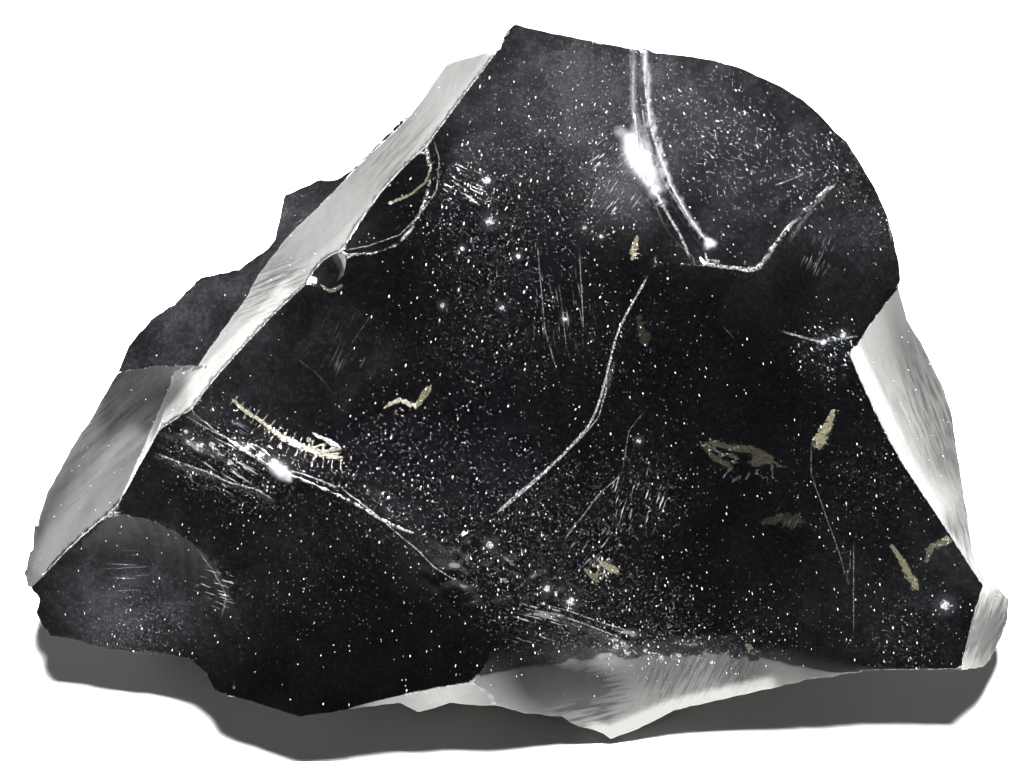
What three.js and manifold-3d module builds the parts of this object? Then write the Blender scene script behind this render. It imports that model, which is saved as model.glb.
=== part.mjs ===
// Natural asphalt specimen: one broken lump, cut out of a blank by hollow fracture scars.
// Shaping frame: u right across the broad face, v up the face, w out of the face.
// The finished lump is leaned back and stood on its flat base at z = 0. Millimetres.
import * as THREE from "three";
import { mergeVertices } from "three/addons/utils/BufferGeometryUtils.js";
import Module from "manifold-3d";

const wasm = await Module();
wasm.setup();

// ---- driving dimensions ----
const leanBack = 28;          // degrees the broad face leans back from lying flat
const faceHeight = 32;        // height of the shaping origin above the floor
const outlineTaper = 450;     // the outline narrows by this many mm to one, going up w
const blankTop = 12;          // blank above the broad face
const blankDepth = 62;        // blank below the broad face
const chordError = 0.08;      // how far a scar's facets may leave its true curve
const mergeStep = 0.0001;     // corners closer than this are one
const sliverLimit = 0.04;     // edges that change the form by less than this are dropped
const grooveRadius = 1.3;     // bore of the long groove down the upper face
const grooveHeight = 0.8;     // its centre line stands this far above the face
const centreShift = { x: -0.61, y: -6.53 };

const stoneColour = 0x0b0b0d;
const stoneRoughness = 0.14;

// ---- rim points where fracture scars meet: [u, v, w] ----
const rim = {
  apex: [-0.2, 36.2, -2.0],
  slabLeft: [-12.2, 19.6, -3.0],
  topMiddle: [13.1, 33.6, -1.0],
  topRight: [36.8, 20.6, -5.5],
  lobeEnd: [39.9, 9.6, -7.5],
  notch: [35.0, 3.2, -6.0],
  bevelTop: [-6.6, 26.2, -2.4],
  bevelMiddle: [-20.3, 11.4, -3.8],
  bevelLow: [-36.2, -5.1, -5.2],
  bevelOuter: [-19.3, 18.9, -11.0],
  ridgeTop: [13.0, 11.7, 0.8],
  ridgeMiddle: [9.5, 0.6, 1.3],
  ridgeFoot: [-1.2, -13.2, -0.8],
  ledgeLeft: [18.1, 12.0, 0.2],
  ledgeMiddle: [25.0, 10.9, -1.5],
  ledgeRight: [32.8, 19.5, -4.7],
  hollowTop: [-10.9, 6.7, -2.8],
  hollowFoot: [-9.5, -0.5, -2.6],
  bandLeft: [-31.4, -2.5, -4.4],
  bandRight: [-16.5, -14.2, -3.0],
  lowEdgeLeft: [-21.8, -34.7, -7.0],
  lowEdgeRight: [40.1, -29.7, -7.5],
  lowFaceTop: [12.1, -29.0, -5.6],
  lowFaceRight: [31.2, -30.7, -8.0],
  tip: [10.4, -37.5, -15.0],
  rightFaceMiddle: [39.5, -6.5, -5.0],
  rightFaceLow: [48.6, -21.1, -7.2],
  rightFaceOuter: [46.4, -3.8, -17.0],
  cornerLow: [46.8, -29.5, -8.2],
  cornerOuter: [51.9, -22.9, -13.0],
};

// ---- outline of the lump as it is seen square on to the broad face: [u, v] ----
const topOutline = [
  [-0.2, 36.1], [13.0, 33.5], [21.1, 32.3], [28.2, 29.3], [33.3, 24.9],
  [36.4, 20.3], [38.2, 16.3], [39.4, 11.2], [39.2, 9.5],
];
const rightOutline = [
  [40.1, 6.1], [41.6, 3.7], [42.8, 1.3], [44.0, -1.2], [44.7, -3.7], [45.3, -7.9],
  [45.9, -11.9], [46.2, -13.6], [46.7, -17.1], [47.0, -18.2], [48.1, -20.3],
  [48.7, -20.3], [50.5, -22.3], [50.2, -24.7], [49.2, -27.0], [48.1, -29.0],
];
const lowOutline = [
  [45.9, -29.3], [39.4, -29.3], [36.6, -29.4], [34.0, -29.7], [32.5, -30.1],
  [30.7, -30.2], [26.5, -31.2], [20.6, -32.5], [16.4, -33.5], [13.0, -35.3],
  [10.1, -36.3], [8.5, -35.5], [6.8, -35.1], [5.0, -34.1], [1.2, -33.7],
  [-1.2, -33.0], [-4.1, -32.9], [-6.2, -32.7], [-7.7, -33.2], [-9.5, -33.6],
  [-11.3, -32.7], [-13.3, -32.9], [-21.5, -34.1], [-30.1, -31.4], [-31.0, -29.6],
  [-32.6, -28.3], [-34.4, -27.8], [-38.4, -27.5], [-42.7, -26.8], [-44.5, -26.1],
];
const leftOutline = [
  [-46.7, -25.9], [-47.5, -24.9], [-48.2, -23.5], [-47.8, -22.2], [-49.0, -20.8],
  [-49.5, -19.3], [-48.8, -16.6], [-47.0, -11.2], [-44.1, -6.0], [-42.7, -4.1],
  [-41.4, -1.7], [-39.9, 0.8],
];
const bevelOutline = [
  [-32.0, 1.2], [-29.1, 5.4], [-27.3, 7.8], [-25.4, 11.1], [-22.8, 14.5],
  [-18.8, 18.4], [-15.2, 22.1], [-10.8, 26.3], [-8.9, 28.7], [-6.6, 32.1], [-1.2, 33.6],
];
const underLobeOutline = [
  [37.4, 6.8], [36.1, 5.1], [35.4, 4.0], [34.5, 3.2], [25.2, -4.0], [0.9, 8.2],
];
const greyInnerOutline = [
  [-36.0, 1.5], [-31.0, 1.5], [-28.0, -6.0], [-33.0, -20.0], [-40.0, -26.4], [-44.5, -26.1],
];
const ledgeOutline = [
  [-10.8, 26.7], [-1.2, 18.3], [-21.5, -4.0], [-41.7, -7.0], [-42.7, -4.1],
  [-41.4, -1.7], [-39.9, 0.8], [-38.8, 3.5], [-36.6, 6.1], [-34.0, 7.9],
  [-31.5, 10.4], [-27.6, 11.3], [-24.5, 13.5], [-24.0, 14.2], [-23.0, 18.8],
  [-19.4, 20.3], [-17.8, 20.3], [-16.3, 21.3],
];

// ---- small helpers ----
const vec = ([x, y, z]) => new THREE.Vector3(x, y, z);

function direction(azimuth, rise) {
  const a = THREE.MathUtils.degToRad(azimuth);
  const r = THREE.MathUtils.degToRad(rise);
  return new THREE.Vector3(Math.cos(a) * Math.cos(r), Math.sin(a) * Math.cos(r), Math.sin(r));
}

// from the standing frame (z up, floor at 0) into the shaping frame
function turnFromStanding(v) {
  return v.clone().applyAxisAngle(new THREE.Vector3(1, 0, 0), -THREE.MathUtils.degToRad(leanBack));
}
function pointFromStanding([x, y, z]) {
  return turnFromStanding(new THREE.Vector3(x, y, z - faceHeight));
}

function toSolid(geometry) {
  const bare = new THREE.BufferGeometry();
  bare.setAttribute("position", geometry.getAttribute("position"));
  if (geometry.index) bare.setIndex(geometry.index);
  const merged = mergeVertices(bare, mergeStep);
  return new wasm.Manifold(new wasm.Mesh({
    numProp: 3,
    vertProperties: new Float32Array(merged.getAttribute("position").array),
    triVerts: new Uint32Array(merged.index.array),
  }));
}

function toGeometry(solid) {
  const mesh = solid.getMesh();
  const geometry = new THREE.BufferGeometry();
  geometry.setAttribute("position", new THREE.BufferAttribute(mesh.vertProperties, mesh.numProp));
  geometry.setIndex(new THREE.BufferAttribute(mesh.triVerts, 1));
  return geometry;
}

function ball(centre, radius) {
  const step = Math.sqrt(8 * radius * chordError);
  const around = Math.ceil((2 * Math.PI * radius) / step);
  const geometry = new THREE.SphereGeometry(radius, around, Math.ceil(around / 2));
  geometry.translate(centre.x, centre.y, centre.z);
  return toSolid(geometry);
}

// a hollow scar through three rim points; its centre lies out on the facing side
function scar(a, b, c, radius, facing = new THREE.Vector3(0, 0, 1)) {
  const triangle = new THREE.Triangle(vec(a), vec(b), vec(c));
  const normal = triangle.getNormal(new THREE.Vector3());
  if (normal.dot(facing) < 0) normal.negate();
  const ab = vec(b).sub(vec(a));
  const ac = vec(c).sub(vec(a));
  const cross = ab.clone().cross(ac);
  const toCentre = cross.clone().cross(ab).multiplyScalar(ac.lengthSq());
  toCentre.add(ac.clone().cross(cross).multiplyScalar(ab.lengthSq()));
  toCentre.divideScalar(2 * cross.lengthSq());
  const lift = Math.sqrt(radius * radius - toCentre.lengthSq());
  return ball(vec(a).add(toCentre).addScaledVector(normal, lift), radius);
}

// a hollow scar on a hidden side, given by its deepest point in the standing frame
function sideScar(point, azimuth, rise, radius) {
  const outward = turnFromStanding(direction(azimuth, rise));
  return ball(pointFromStanding(point).addScaledVector(outward, radius), radius);
}
function sideScarThrough(points, radius, facing) {
  const [a, b, c] = points.map((p) => pointFromStanding(p).toArray());
  return scar(a, b, c, radius, turnFromStanding(vec(facing)));
}

// the outline carried through the blank, narrowing evenly towards its top
function block(outline) {
  const shape = new THREE.Shape(outline.map(([u, v]) => new THREE.Vector2(u, v)));
  const geometry = new THREE.ExtrudeGeometry(shape, {
    depth: blankTop + blankDepth,
    bevelEnabled: false,
  });
  geometry.translate(0, 0, -blankDepth);
  const position = geometry.getAttribute("position");
  for (let i = 0; i < position.count; i += 1) {
    const narrowing = 1 - position.getZ(i) / outlineTaper;
    position.setX(i, position.getX(i) * narrowing);
    position.setY(i, position.getY(i) * narrowing);
  }
  return toSolid(geometry);
}

function cut(solid, scars) {
  return scars.reduce((left, tool) => left.subtract(tool), solid);
}

// a round tool swept along a line of points on the face
function sweptTool(points, radius, height) {
  const lifted = points.map(([u, v, w]) => new THREE.Vector3(u, v, w + height));
  const profile = new THREE.Shape();
  profile.absarc(0, 0, radius, 0, 2 * Math.PI, false);
  return toSolid(new THREE.ExtrudeGeometry(profile, {
    extrudePath: new THREE.CatmullRomCurve3(lifted),
    steps: 3 * points.length,
    curveSegments: 6,
    bevelEnabled: false,
  }));
}

// ---- scars shared by the whole lump ----
function broadFaceScars() {
  return [
    scar(rim.apex, rim.slabLeft, rim.ridgeTop, 130),
    scar(rim.topMiddle, rim.topRight, rim.ledgeMiddle, 170),
    scar(rim.ledgeMiddle, rim.ledgeRight, rim.rightFaceMiddle, 80),
    scar(rim.ledgeLeft, rim.ridgeMiddle, rim.ledgeMiddle, 60),
    scar(rim.ridgeMiddle, rim.ridgeFoot, rim.hollowTop, 55),
    scar(rim.bevelMiddle, rim.bandLeft, rim.hollowFoot, 35),
    scar(rim.bevelLow, rim.bandRight, rim.lowEdgeLeft, 90),
    scar(rim.ridgeFoot, rim.lowFaceTop, [34.7, -22.5, -4.2], 160),
    scar([30.3, -6.1, -3.9], rim.rightFaceLow, rim.lowEdgeRight, 90),
  ];
}

function smallScars() {
  return [
    scar([-34.2, -14.9, -7.4], [-29.5, -23.7, -8.6], [-46.9, -21.2, -10.8], 34),
    scar([-14.2, -23.5, -4.6], [-0.7, -26.5, -3.4], [-9.4, -32.2, -6.2], 70),
    scar([-7.6, 24.2, -2.4], [-7.5, 19.4, -2.3], [-16.6, 13.2, -3.2], 22),
    scar([-17.2, 10.4, -3.4], [-19.6, 9.0, -3.9], [-20.0, 11.4, -4.8], 4),
  ];
}

function groove() {
  const line = [
    [13.4, 37.0, -1.3], [13.2, 31.0, -0.9], [13.3, 27.5, -0.6], [13.6, 23.4, -0.3],
    [14.7, 19.3, -0.1], [16.5, 16.0, -0.2], [18.9, 13.0, -0.2], [20.4, 11.6, 0.4],
  ];
  return sweptTool(line, grooveRadius, grooveHeight);
}

function lowEdgeScars() {
  return [
    scar(rim.lowFaceTop, rim.lowFaceRight, rim.tip, 120, direction(255, 0)),
    scar([-13.4, -33.0, -6.8], [-0.4, -32.9, -7.0], [-6.9, -31.4, -5.65], 60, direction(268, 0)),
    scar(rim.rightFaceLow, rim.cornerLow, rim.cornerOuter, 60, direction(338, 0)),
  ];
}

function farSideScars() {
  return [
    sideScar([2, 34.2, 33], 99, 13, 46),
    sideScar([19, 30.5, 24], 80, 0, 75),
    sideScar([34, 24.5, 27], 54, 13, 38),
    sideScar([46, 9, 10], 25, 0, 40),
    sideScar([-12.6, 30.1, 16], 116, -3, 70),
    sideScar([-27, 23.3, 15], 133, 8, 34),
    sideScar([-40, 13.5, 7], 152, -2, 50),
  ];
}

function undercutScars() {
  return [
    sideScarThrough([[-51, 6, 12], [-49.5, -19, 9], [-36, -8, 0]], 60, [-1, 0, -1]),
    sideScarThrough([[-44, -21, 7.5], [-8, -29.5, 5.5], [-22, -17.5, 0]], 120, [0, -1, -1]),
    sideScarThrough([[12, -27.5, 0.5], [48, -24, 9], [34, -10, 0]], 70, [0, -1, -1]),
    sideScarThrough([[53.5, -17, 8.5], [50, 6, 10], [40, -4, 0]], 60, [1, 0, -1]),
  ];
}

// ---- the four masses that make the lump ----
function mainMass() {
  const outline = [topOutline, rightOutline, lowOutline, leftOutline, bevelOutline].flat();
  return cut(block(outline), [
    scar(rim.bevelTop, rim.bevelLow, rim.bevelOuter, 260, direction(139, 0)),
    scar(rim.bevelLow, [-40.7, -13.4, -6.9], [-37.3, -5.7, -8.3], 200, direction(151, 0)),
    scar(rim.notch, rim.rightFaceLow, rim.rightFaceOuter, 200, direction(27, 0)),
  ]);
}

function upperLobe() {
  const underside = scar(rim.lobeEnd, rim.notch, [32.7, 5.3, -20], 60, direction(320, 0));
  return cut(block([topOutline, underLobeOutline].flat()), [underside]);
}

function leftSlope() {
  return cut(block([leftOutline, greyInnerOutline].flat()), [
    scar([-32.0, 1.2, -7.6], [-42.3, -14.2, -8.6], [-47.0, -11.2, -14.6], 200, direction(150, 0)),
  ]);
}

function leftLedges() {
  return cut(block(ledgeOutline), [
    scar([-41.4, -1.0, -19], [-29.6, 9.5, -17.5], [-27.5, 5.3, -16], 30),
    scar([-23.8, 19.5, -17], [-18.0, 20.8, -16], [-22.2, 15.2, -15], 25),
  ]);
}

function standOnBase(solid) {
  const geometry = toGeometry(solid);
  geometry.rotateX(THREE.MathUtils.degToRad(leanBack));
  geometry.translate(centreShift.x, centreShift.y, faceHeight);
  const floorSize = 3 * blankDepth;
  const floor = new THREE.BoxGeometry(floorSize, floorSize, floorSize);
  floor.translate(0, 0, -floorSize / 2);
  return toGeometry(toSolid(geometry).subtract(toSolid(floor)).simplify(sliverLimit));
}

function buildLump() {
  const masses = mainMass().add(upperLobe()).add(leftSlope()).add(leftLedges());
  const cuts = [
    broadFaceScars(), smallScars(), groove(), lowEdgeScars(), farSideScars(), undercutScars(),
  ].flat();
  return standOnBase(cut(masses, cuts));
}

const geometry = buildLump().toNonIndexed();
geometry.computeVertexNormals();
const stone = new THREE.MeshStandardMaterial({
  color: stoneColour,
  roughness: stoneRoughness,
  metalness: 0,
});
const lump = new THREE.Mesh(geometry, stone);
lump.name = "asphalt_lump";

const part = new THREE.Group();
part.name = "natural_asphalt_specimen";
part.add(lump);
export default part;
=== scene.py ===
"""Natural asphalt specimen: a glassy black lump, its fracture scars, clay films and dust."""
import math

import bpy
import numpy as np
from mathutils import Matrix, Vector


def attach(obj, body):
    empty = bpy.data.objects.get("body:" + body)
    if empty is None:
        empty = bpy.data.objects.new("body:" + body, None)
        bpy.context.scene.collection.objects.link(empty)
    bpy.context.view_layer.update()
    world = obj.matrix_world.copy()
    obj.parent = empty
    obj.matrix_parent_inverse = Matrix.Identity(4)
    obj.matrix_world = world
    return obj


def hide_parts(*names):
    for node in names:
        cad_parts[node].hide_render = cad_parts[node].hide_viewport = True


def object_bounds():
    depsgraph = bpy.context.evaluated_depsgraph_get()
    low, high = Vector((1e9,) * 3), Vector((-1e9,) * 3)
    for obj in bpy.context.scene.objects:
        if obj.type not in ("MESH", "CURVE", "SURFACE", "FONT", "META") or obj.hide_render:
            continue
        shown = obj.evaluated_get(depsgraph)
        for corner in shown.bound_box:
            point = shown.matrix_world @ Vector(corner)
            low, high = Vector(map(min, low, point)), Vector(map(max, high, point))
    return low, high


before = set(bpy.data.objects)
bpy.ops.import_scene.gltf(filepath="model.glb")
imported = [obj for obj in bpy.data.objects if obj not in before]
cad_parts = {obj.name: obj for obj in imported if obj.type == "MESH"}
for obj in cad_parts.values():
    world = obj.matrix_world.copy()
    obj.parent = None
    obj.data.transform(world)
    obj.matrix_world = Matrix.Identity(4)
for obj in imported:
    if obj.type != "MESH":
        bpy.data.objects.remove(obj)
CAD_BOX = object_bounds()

# ---------------------------------------------------------------- sizes, millimetres
MM = 0.001
LEAN_BACK = math.radians(28)      # the broad face leans back from lying flat
FACE_HEIGHT = 32.0                # shaping origin above the floor
OUTLINE_TAPER = 450.0             # the outline narrows by this many mm to one, going up w
BROAD_FACE_DEPTH = 13.0           # marks raised on the broad face end this far below it
FRONT_DEPTH = 21.5                # the front faces and ledges reach this far down
CENTRE = np.array([-0.61, -6.53, FACE_HEIGHT])   # the shaping origin in the standing frame
CELL = 0.54   # spacing of the mesh that follows the surface
GRID_LOW = np.array([-53.3, -35.1, -1.31])
GRID_HIGH = np.array([53.5, 35.3, 49.6])
GROOVE_RADIUS = 1.3
GROOVE_HEIGHT = 0.8
BATCH = 400000                    # how many places are worked out at a time
SLOPE_BATCH = 200000
HALVINGS = 9                      # rounds that close in on a crossing of the surface
CORNER_HOLD = 0.04                # keeps a corner by its crossings where the surface is flat

# shaping frame: u right across the broad face, v up the face, w out of the face
RIM = dict(
    apex=(-0.2, 36.2, -2.0), slab_left=(-12.2, 19.6, -3.0), top_middle=(13.1, 33.6, -1.0),
    top_right=(36.8, 20.6, -5.5),
    lobe_end=(39.9, 9.6, -7.5), notch=(35.0, 3.2, -6.0), bevel_top=(-6.6, 26.2, -2.4),
    bevel_middle=(-20.3, 11.4, -3.8), bevel_low=(-36.2, -5.1, -5.2),
    bevel_outer=(-19.3, 18.9, -11.0), ridge_top=(13.0, 11.7, 0.8),
    ridge_middle=(9.5, 0.6, 1.3), ridge_foot=(-1.2, -13.2, -0.8),
    ledge_left=(18.1, 12.0, 0.2), ledge_middle=(25.0, 10.9, -1.5),
    ledge_right=(32.8, 19.5, -4.7), hollow_top=(-10.9, 6.7, -2.8),
    hollow_foot=(-9.5, -0.5, -2.6), band_left=(-31.4, -2.5, -4.4),
    band_right=(-16.5, -14.2, -3.0), low_edge_left=(-21.8, -34.7, -7.0),
    low_edge_right=(40.1, -29.7, -7.5), low_face_top=(12.1, -29.0, -5.6),
    low_face_right=(31.2, -30.7, -8.0), tip=(10.4, -37.5, -15.0),
    right_face_middle=(39.5, -6.5, -5.0), right_face_low=(48.6, -21.1, -7.2),
    right_face_outer=(46.4, -3.8, -17.0), corner_low=(46.8, -29.5, -8.2),
    corner_outer=(51.9, -22.9, -13.0),
)

TOP_OUTLINE = [
    (-0.2, 36.1), (13.0, 33.5), (21.1, 32.3), (28.2, 29.3), (33.3, 24.9), (36.4, 20.3),
    (38.2, 16.3), (39.4, 11.2), (39.2, 9.5),
]
RIGHT_OUTLINE = [
    (40.1, 6.1), (41.6, 3.7), (42.8, 1.3), (44.0, -1.2), (44.7, -3.7), (45.3, -7.9),
    (45.9, -11.9), (46.2, -13.6), (46.7, -17.1), (47.0, -18.2), (48.1, -20.3),
    (48.7, -20.3), (50.5, -22.3), (50.2, -24.7), (49.2, -27.0), (48.1, -29.0),
]
LOW_OUTLINE = [
    (45.9, -29.3), (39.4, -29.3), (36.6, -29.4), (34.0, -29.7), (32.5, -30.1),
    (30.7, -30.2), (26.5, -31.2), (20.6, -32.5), (16.4, -33.5), (13.0, -35.3),
    (10.1, -36.3), (8.5, -35.5), (6.8, -35.1), (5.0, -34.1), (1.2, -33.7), (-1.2, -33.0),
    (-4.1, -32.9), (-6.2, -32.7), (-7.7, -33.2), (-9.5, -33.6), (-11.3, -32.7),
    (-13.3, -32.9), (-21.5, -34.1), (-30.1, -31.4), (-31.0, -29.6), (-32.6, -28.3),
    (-34.4, -27.8), (-38.4, -27.5), (-42.7, -26.8), (-44.5, -26.1),
]
LEFT_OUTLINE = [
    (-46.7, -25.9), (-47.5, -24.9), (-48.2, -23.5), (-47.8, -22.2), (-49.0, -20.8),
    (-49.5, -19.3), (-48.8, -16.6), (-47.0, -11.2), (-44.1, -6.0), (-42.7, -4.1),
    (-41.4, -1.7), (-39.9, 0.8),
]
BEVEL_OUTLINE = [
    (-32.0, 1.2), (-29.1, 5.4), (-27.3, 7.8), (-25.4, 11.1), (-22.8, 14.5), (-18.8, 18.4),
    (-15.2, 22.1), (-10.8, 26.3), (-8.9, 28.7), (-6.6, 32.1), (-1.2, 33.6),
]
UNDER_LOBE_OUTLINE = [
    (37.4, 6.8), (36.1, 5.1), (35.4, 4.0), (34.5, 3.2), (25.2, -4.0), (0.9, 8.2),
]
GREY_INNER_OUTLINE = [
    (-36.0, 1.5), (-31.0, 1.5), (-28.0, -6.0), (-33.0, -20.0), (-40.0, -26.4), (-44.5, -26.1),
]
LEDGE_OUTLINE = [
    (-10.8, 26.7), (-1.2, 18.3), (-21.5, -4.0), (-41.7, -7.0), (-42.7, -4.1),
    (-41.4, -1.7), (-39.9, 0.8), (-38.8, 3.5), (-36.6, 6.1), (-34.0, 7.9), (-31.5, 10.4),
    (-27.6, 11.3), (-24.5, 13.5), (-24.0, 14.2), (-23.0, 18.8), (-19.4, 20.3),
    (-17.8, 20.3), (-16.3, 21.3),
]
GROOVE_LINE = [
    (13.4, 37.0, -1.3), (13.2, 31.0, -0.9), (13.3, 27.5, -0.6), (13.6, 23.4, -0.3),
    (14.7, 19.3, -0.1), (16.5, 16.0, -0.2), (18.9, 13.0, -0.2), (20.4, 11.6, 0.4),
]


# ---------------------------------------------------------------- what lies on the broad face
# places on the broad face are (u, v) in mm, as seen from straight in front of it
GROOVE_LEFT = [
    (12.3, 32.5), (12.3, 30.8), (12.3, 29.0), (12.4, 27.2), (12.9, 24.9), (13.5, 22.4),
    (14.2, 19.8), (15.6, 17.3), (17.1, 14.8), (18.1, 12.4),
]
GROOVE_RIGHT = [
    (13.5, 33.5), (13.5, 30.8), (13.7, 28.4), (14.2, 25.2), (15.2, 22.4), (16.2, 19.7),
    (17.8, 16.9), (19.4, 14.6), (20.7, 13.6),
]
GROOVE_BED = [(13.1, 29.0), (13.5, 25.9), (14.4, 22.9), (15.4, 20.3), (17.1, 17.5), (18.8, 15.1)]
MIDDLE_RIDGE = [
    (13.0, 12.0), (11.8, 8.2), (10.2, 4.1), (9.7, 1.6), (9.6, -1.0), (8.8, -3.8),
    (6.9, -6.0), (3.4, -9.1), (-0.2, -12.1), (-1.5, -13.3),
]
LOBE_LEDGE = [
    (17.9, 12.3), (21.1, 11.8), (24.9, 10.9), (26.4, 11.6), (27.9, 13.9), (29.8, 16.5),
    (30.8, 18.1), (32.5, 19.4),
]
BAND_TOP = [
    (-33.0, -3.6), (-30.8, -4.9), (-28.9, -5.8), (-27.2, -6.8), (-25.6, -8.2), (-23.5, -9.1),
    (-21.3, -9.4), (-17.2, -11.0),
]
BAND_FOOT = [
    (-36.0, -7.4), (-33.7, -8.3), (-30.8, -9.3), (-28.5, -10.4), (-25.9, -11.0), (-24.3, -12.0),
]
LOW_RIDGE = [
    (-17.2, -11.0), (-14.1, -13.3), (-11.1, -15.9), (-9.5, -17.2), (-7.9, -18.9), (-5.5, -20.4),
]
BEVEL_RIM = [
    (-1.2, 33.6), (-6.6, 26.2), (-7.9, 24.4), (-12.1, 19.4), (-17.8, 13.2), (-22.4, 9.7), (-26.1, 5.1),
    (-31.4, -0.1), (-36.3, -6.2), (-40.1, -12.3), (-42.8, -15.6), (-47.2, -19.7),
]
BITE_RIM = [
    (-7.9, 24.4), (-7.3, 22.4), (-7.6, 19.3), (-9.3, 16.8), (-11.3, 14.8), (-14.4, 13.7), (-16.9, 13.2),
]
CREASE = [(30.4, -6.5), (30.4, -9.5), (31.8, -13.5), (33.3, -17.6), (34.0, -20.5)]
LONG_CURVE = [(1.6, -23.2), (4.4, -23.7), (7.5, -24.7), (10.0, -25.7), (11.9, -26.5)]

# raised, rounded lips: line, height, width
LIPS = [
    (GROOVE_LEFT, 0.20, 0.55), (GROOVE_RIGHT, 0.26, 0.38), (BAND_FOOT, 0.08, 0.30),
    ([(12.2, 26.0), (12.9, 23.5), (13.8, 21.0), (15.2, 18.2)], 0.50, 1.3),
    (LONG_CURVE, 0.22, 0.40), ([(2.9, -22.6), (5.9, -23.4), (9.0, -24.5), (12.2, -25.5)], 0.15, 0.30),
    (CREASE, 0.14, 0.45),
]
# crushed ground: u, v, radius, height
CRUSHED_SPOTS = [
    (-33.5, -6.0, 2.2, 0.22), (-31.0, -7.0, 2.6, 0.24), (-27.5, -8.5, 2.4, 0.06),
    (-24.0, -10.5, 2.0, 0.05), (-4, -19, 3.5, 0.30), (2, -20, 4.0, 0.30), (7, -23, 3.5, 0.20),
    (12, -25.5, 2.4, 0.14), (18, -26.5, 2.4, 0.10), (24, -27, 2.2, 0.10), (31.5, 4.0, 2.4, 0.30),
    (-44, -25, 3.0, 0.30), (-37, -26.5, 3.0, 0.35), (-2, -15, 3, 0.18), (33, 21, 3.0, 0.25),
    (-13, -12, 2.5, 0.12),
]
# crushed ridges, along which bright ridge glints are also painted: line, reach, strength
WORN_AND_GLINTING_RIDGES = [
    (MIDDLE_RIDGE, 1.6, 1.0), (LOBE_LEDGE[:5], 1.8, 0.75), (LOBE_LEDGE[3:], 1.8, 0.50),
    (BEVEL_RIM, 1.5, 0.9), (BITE_RIM, 1.5, 0.6),
    (LOW_RIDGE, 1.6, 0.7), (BAND_TOP, 1.6, 0.5),
    ([(-11.3, -31.7), (-4.0, -31.2), (1.0, -33.7), (5, -29.0), (16, -28.2), (30, -30), (46, -29)],
     2.0, 0.7),
    ([(39.9, 9.6), (35.0, 3.2), (39.0, -6.0), (44.0, -16.0), (48.6, -21.1), (46.8, -29.5)], 1.8, 0.6),
    ([(25.0, 5.0), (35.0, 3.2)], 1.6, 0.8),
]
# scuffed lines, and painted highlight lines along the groove's lips and some ridges, in three sheets, none
# close to another of its sheet: line, half width, strength
SCUFFS_AND_HIGHLIGHT_LINES = [
    [
        ([(27.9, 13.9), (29.8, 16.5), (30.8, 18.1), (32.5, 19.4)], 0.35, 0.13),
        (GROOVE_LEFT, 0.20, 0.8), (BAND_FOOT, 0.13, 0.9), (LOW_RIDGE, 0.10, 0.6),
        (LONG_CURVE, 0.12, 0.5), (CREASE, 0.10, 0.16), ([(26.5, 19.7), (29.9, 21.0)], 0.08, 0.30),
        ([(2.6, 13.9), (3.4, 5.1), (4.5, 1.3)], 0.10, 0.26), ([(6.9, 13.0), (7.3, 5.1)], 0.09, 0.30),
        ([(5.3, -16.2), (6.7, -14.4), (9.0, -11.4), (11.2, -9.5)], 0.10, 0.45),
        ([(34.7, -16.6), (34.7, -25.4)], 0.07, 0.30), ([(27.4, 5.0), (31.3, 3.9), (35.0, 4.5)], 0.16, 0.6),
        ([(36.9, 20.0), (38.0, 17.3), (38.6, 14.0)], 0.14, 0.35),
        ([(-31.8, -17.2), (-30.2, -19.4), (-28.9, -21.8), (-29.4, -24.0)], 0.14, 0.25),
        ([(9.7, 1.6), (9.6, -1.0), (8.8, -3.8), (6.9, -6.0), (3.4, -9.1), (-1.5, -13.3)], 0.10, 0.6),
    ],
    [
        (GROOVE_RIGHT, 0.15, 1.0), (BITE_RIM, 0.10, 0.35), (BAND_TOP, 0.12, 0.45),
        ([(4.9, 9.2), (5.6, 3.1)], 0.09, 0.22), ([(32.0, 14.0), (30.6, 10.8)], 0.12, 0.25),
        ([(2.9, -22.6), (5.9, -23.4), (9.0, -24.5), (12.2, -25.5)], 0.08, 0.5),
        ([(11.2, -9.5), (11.9, -5.1), (13.5, -3.1)], 0.08, 0.20),
        ([(-40.8, -18.6), (-37.8, -18.7)], 0.09, 0.35), ([(-40.6, -21.4), (-37.8, -21.2)], 0.09, 0.35),
        ([(-16.6, 3.2), (-14.0, 7.0)], 0.06, 0.12), ([(10.4, 2.0), (9.4, -1.6)], 0.40, 0.10),
    ],
    [
        (GROOVE_BED, 0.09, 0.40), ([(-40.8, -20.0), (-37.8, -20.1)], 0.09, 0.5),
        ([(-39.9, -17.2), (-37.6, -17.3)], 0.08, 0.15), ([(21.4, 5.6), (22.6, 4.2)], 0.07, 0.2),
        ([(-22.0, 2.4), (-19.6, 0.6), (-18.2, -1.2)], 0.09, 0.08),
    ],
]
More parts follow.
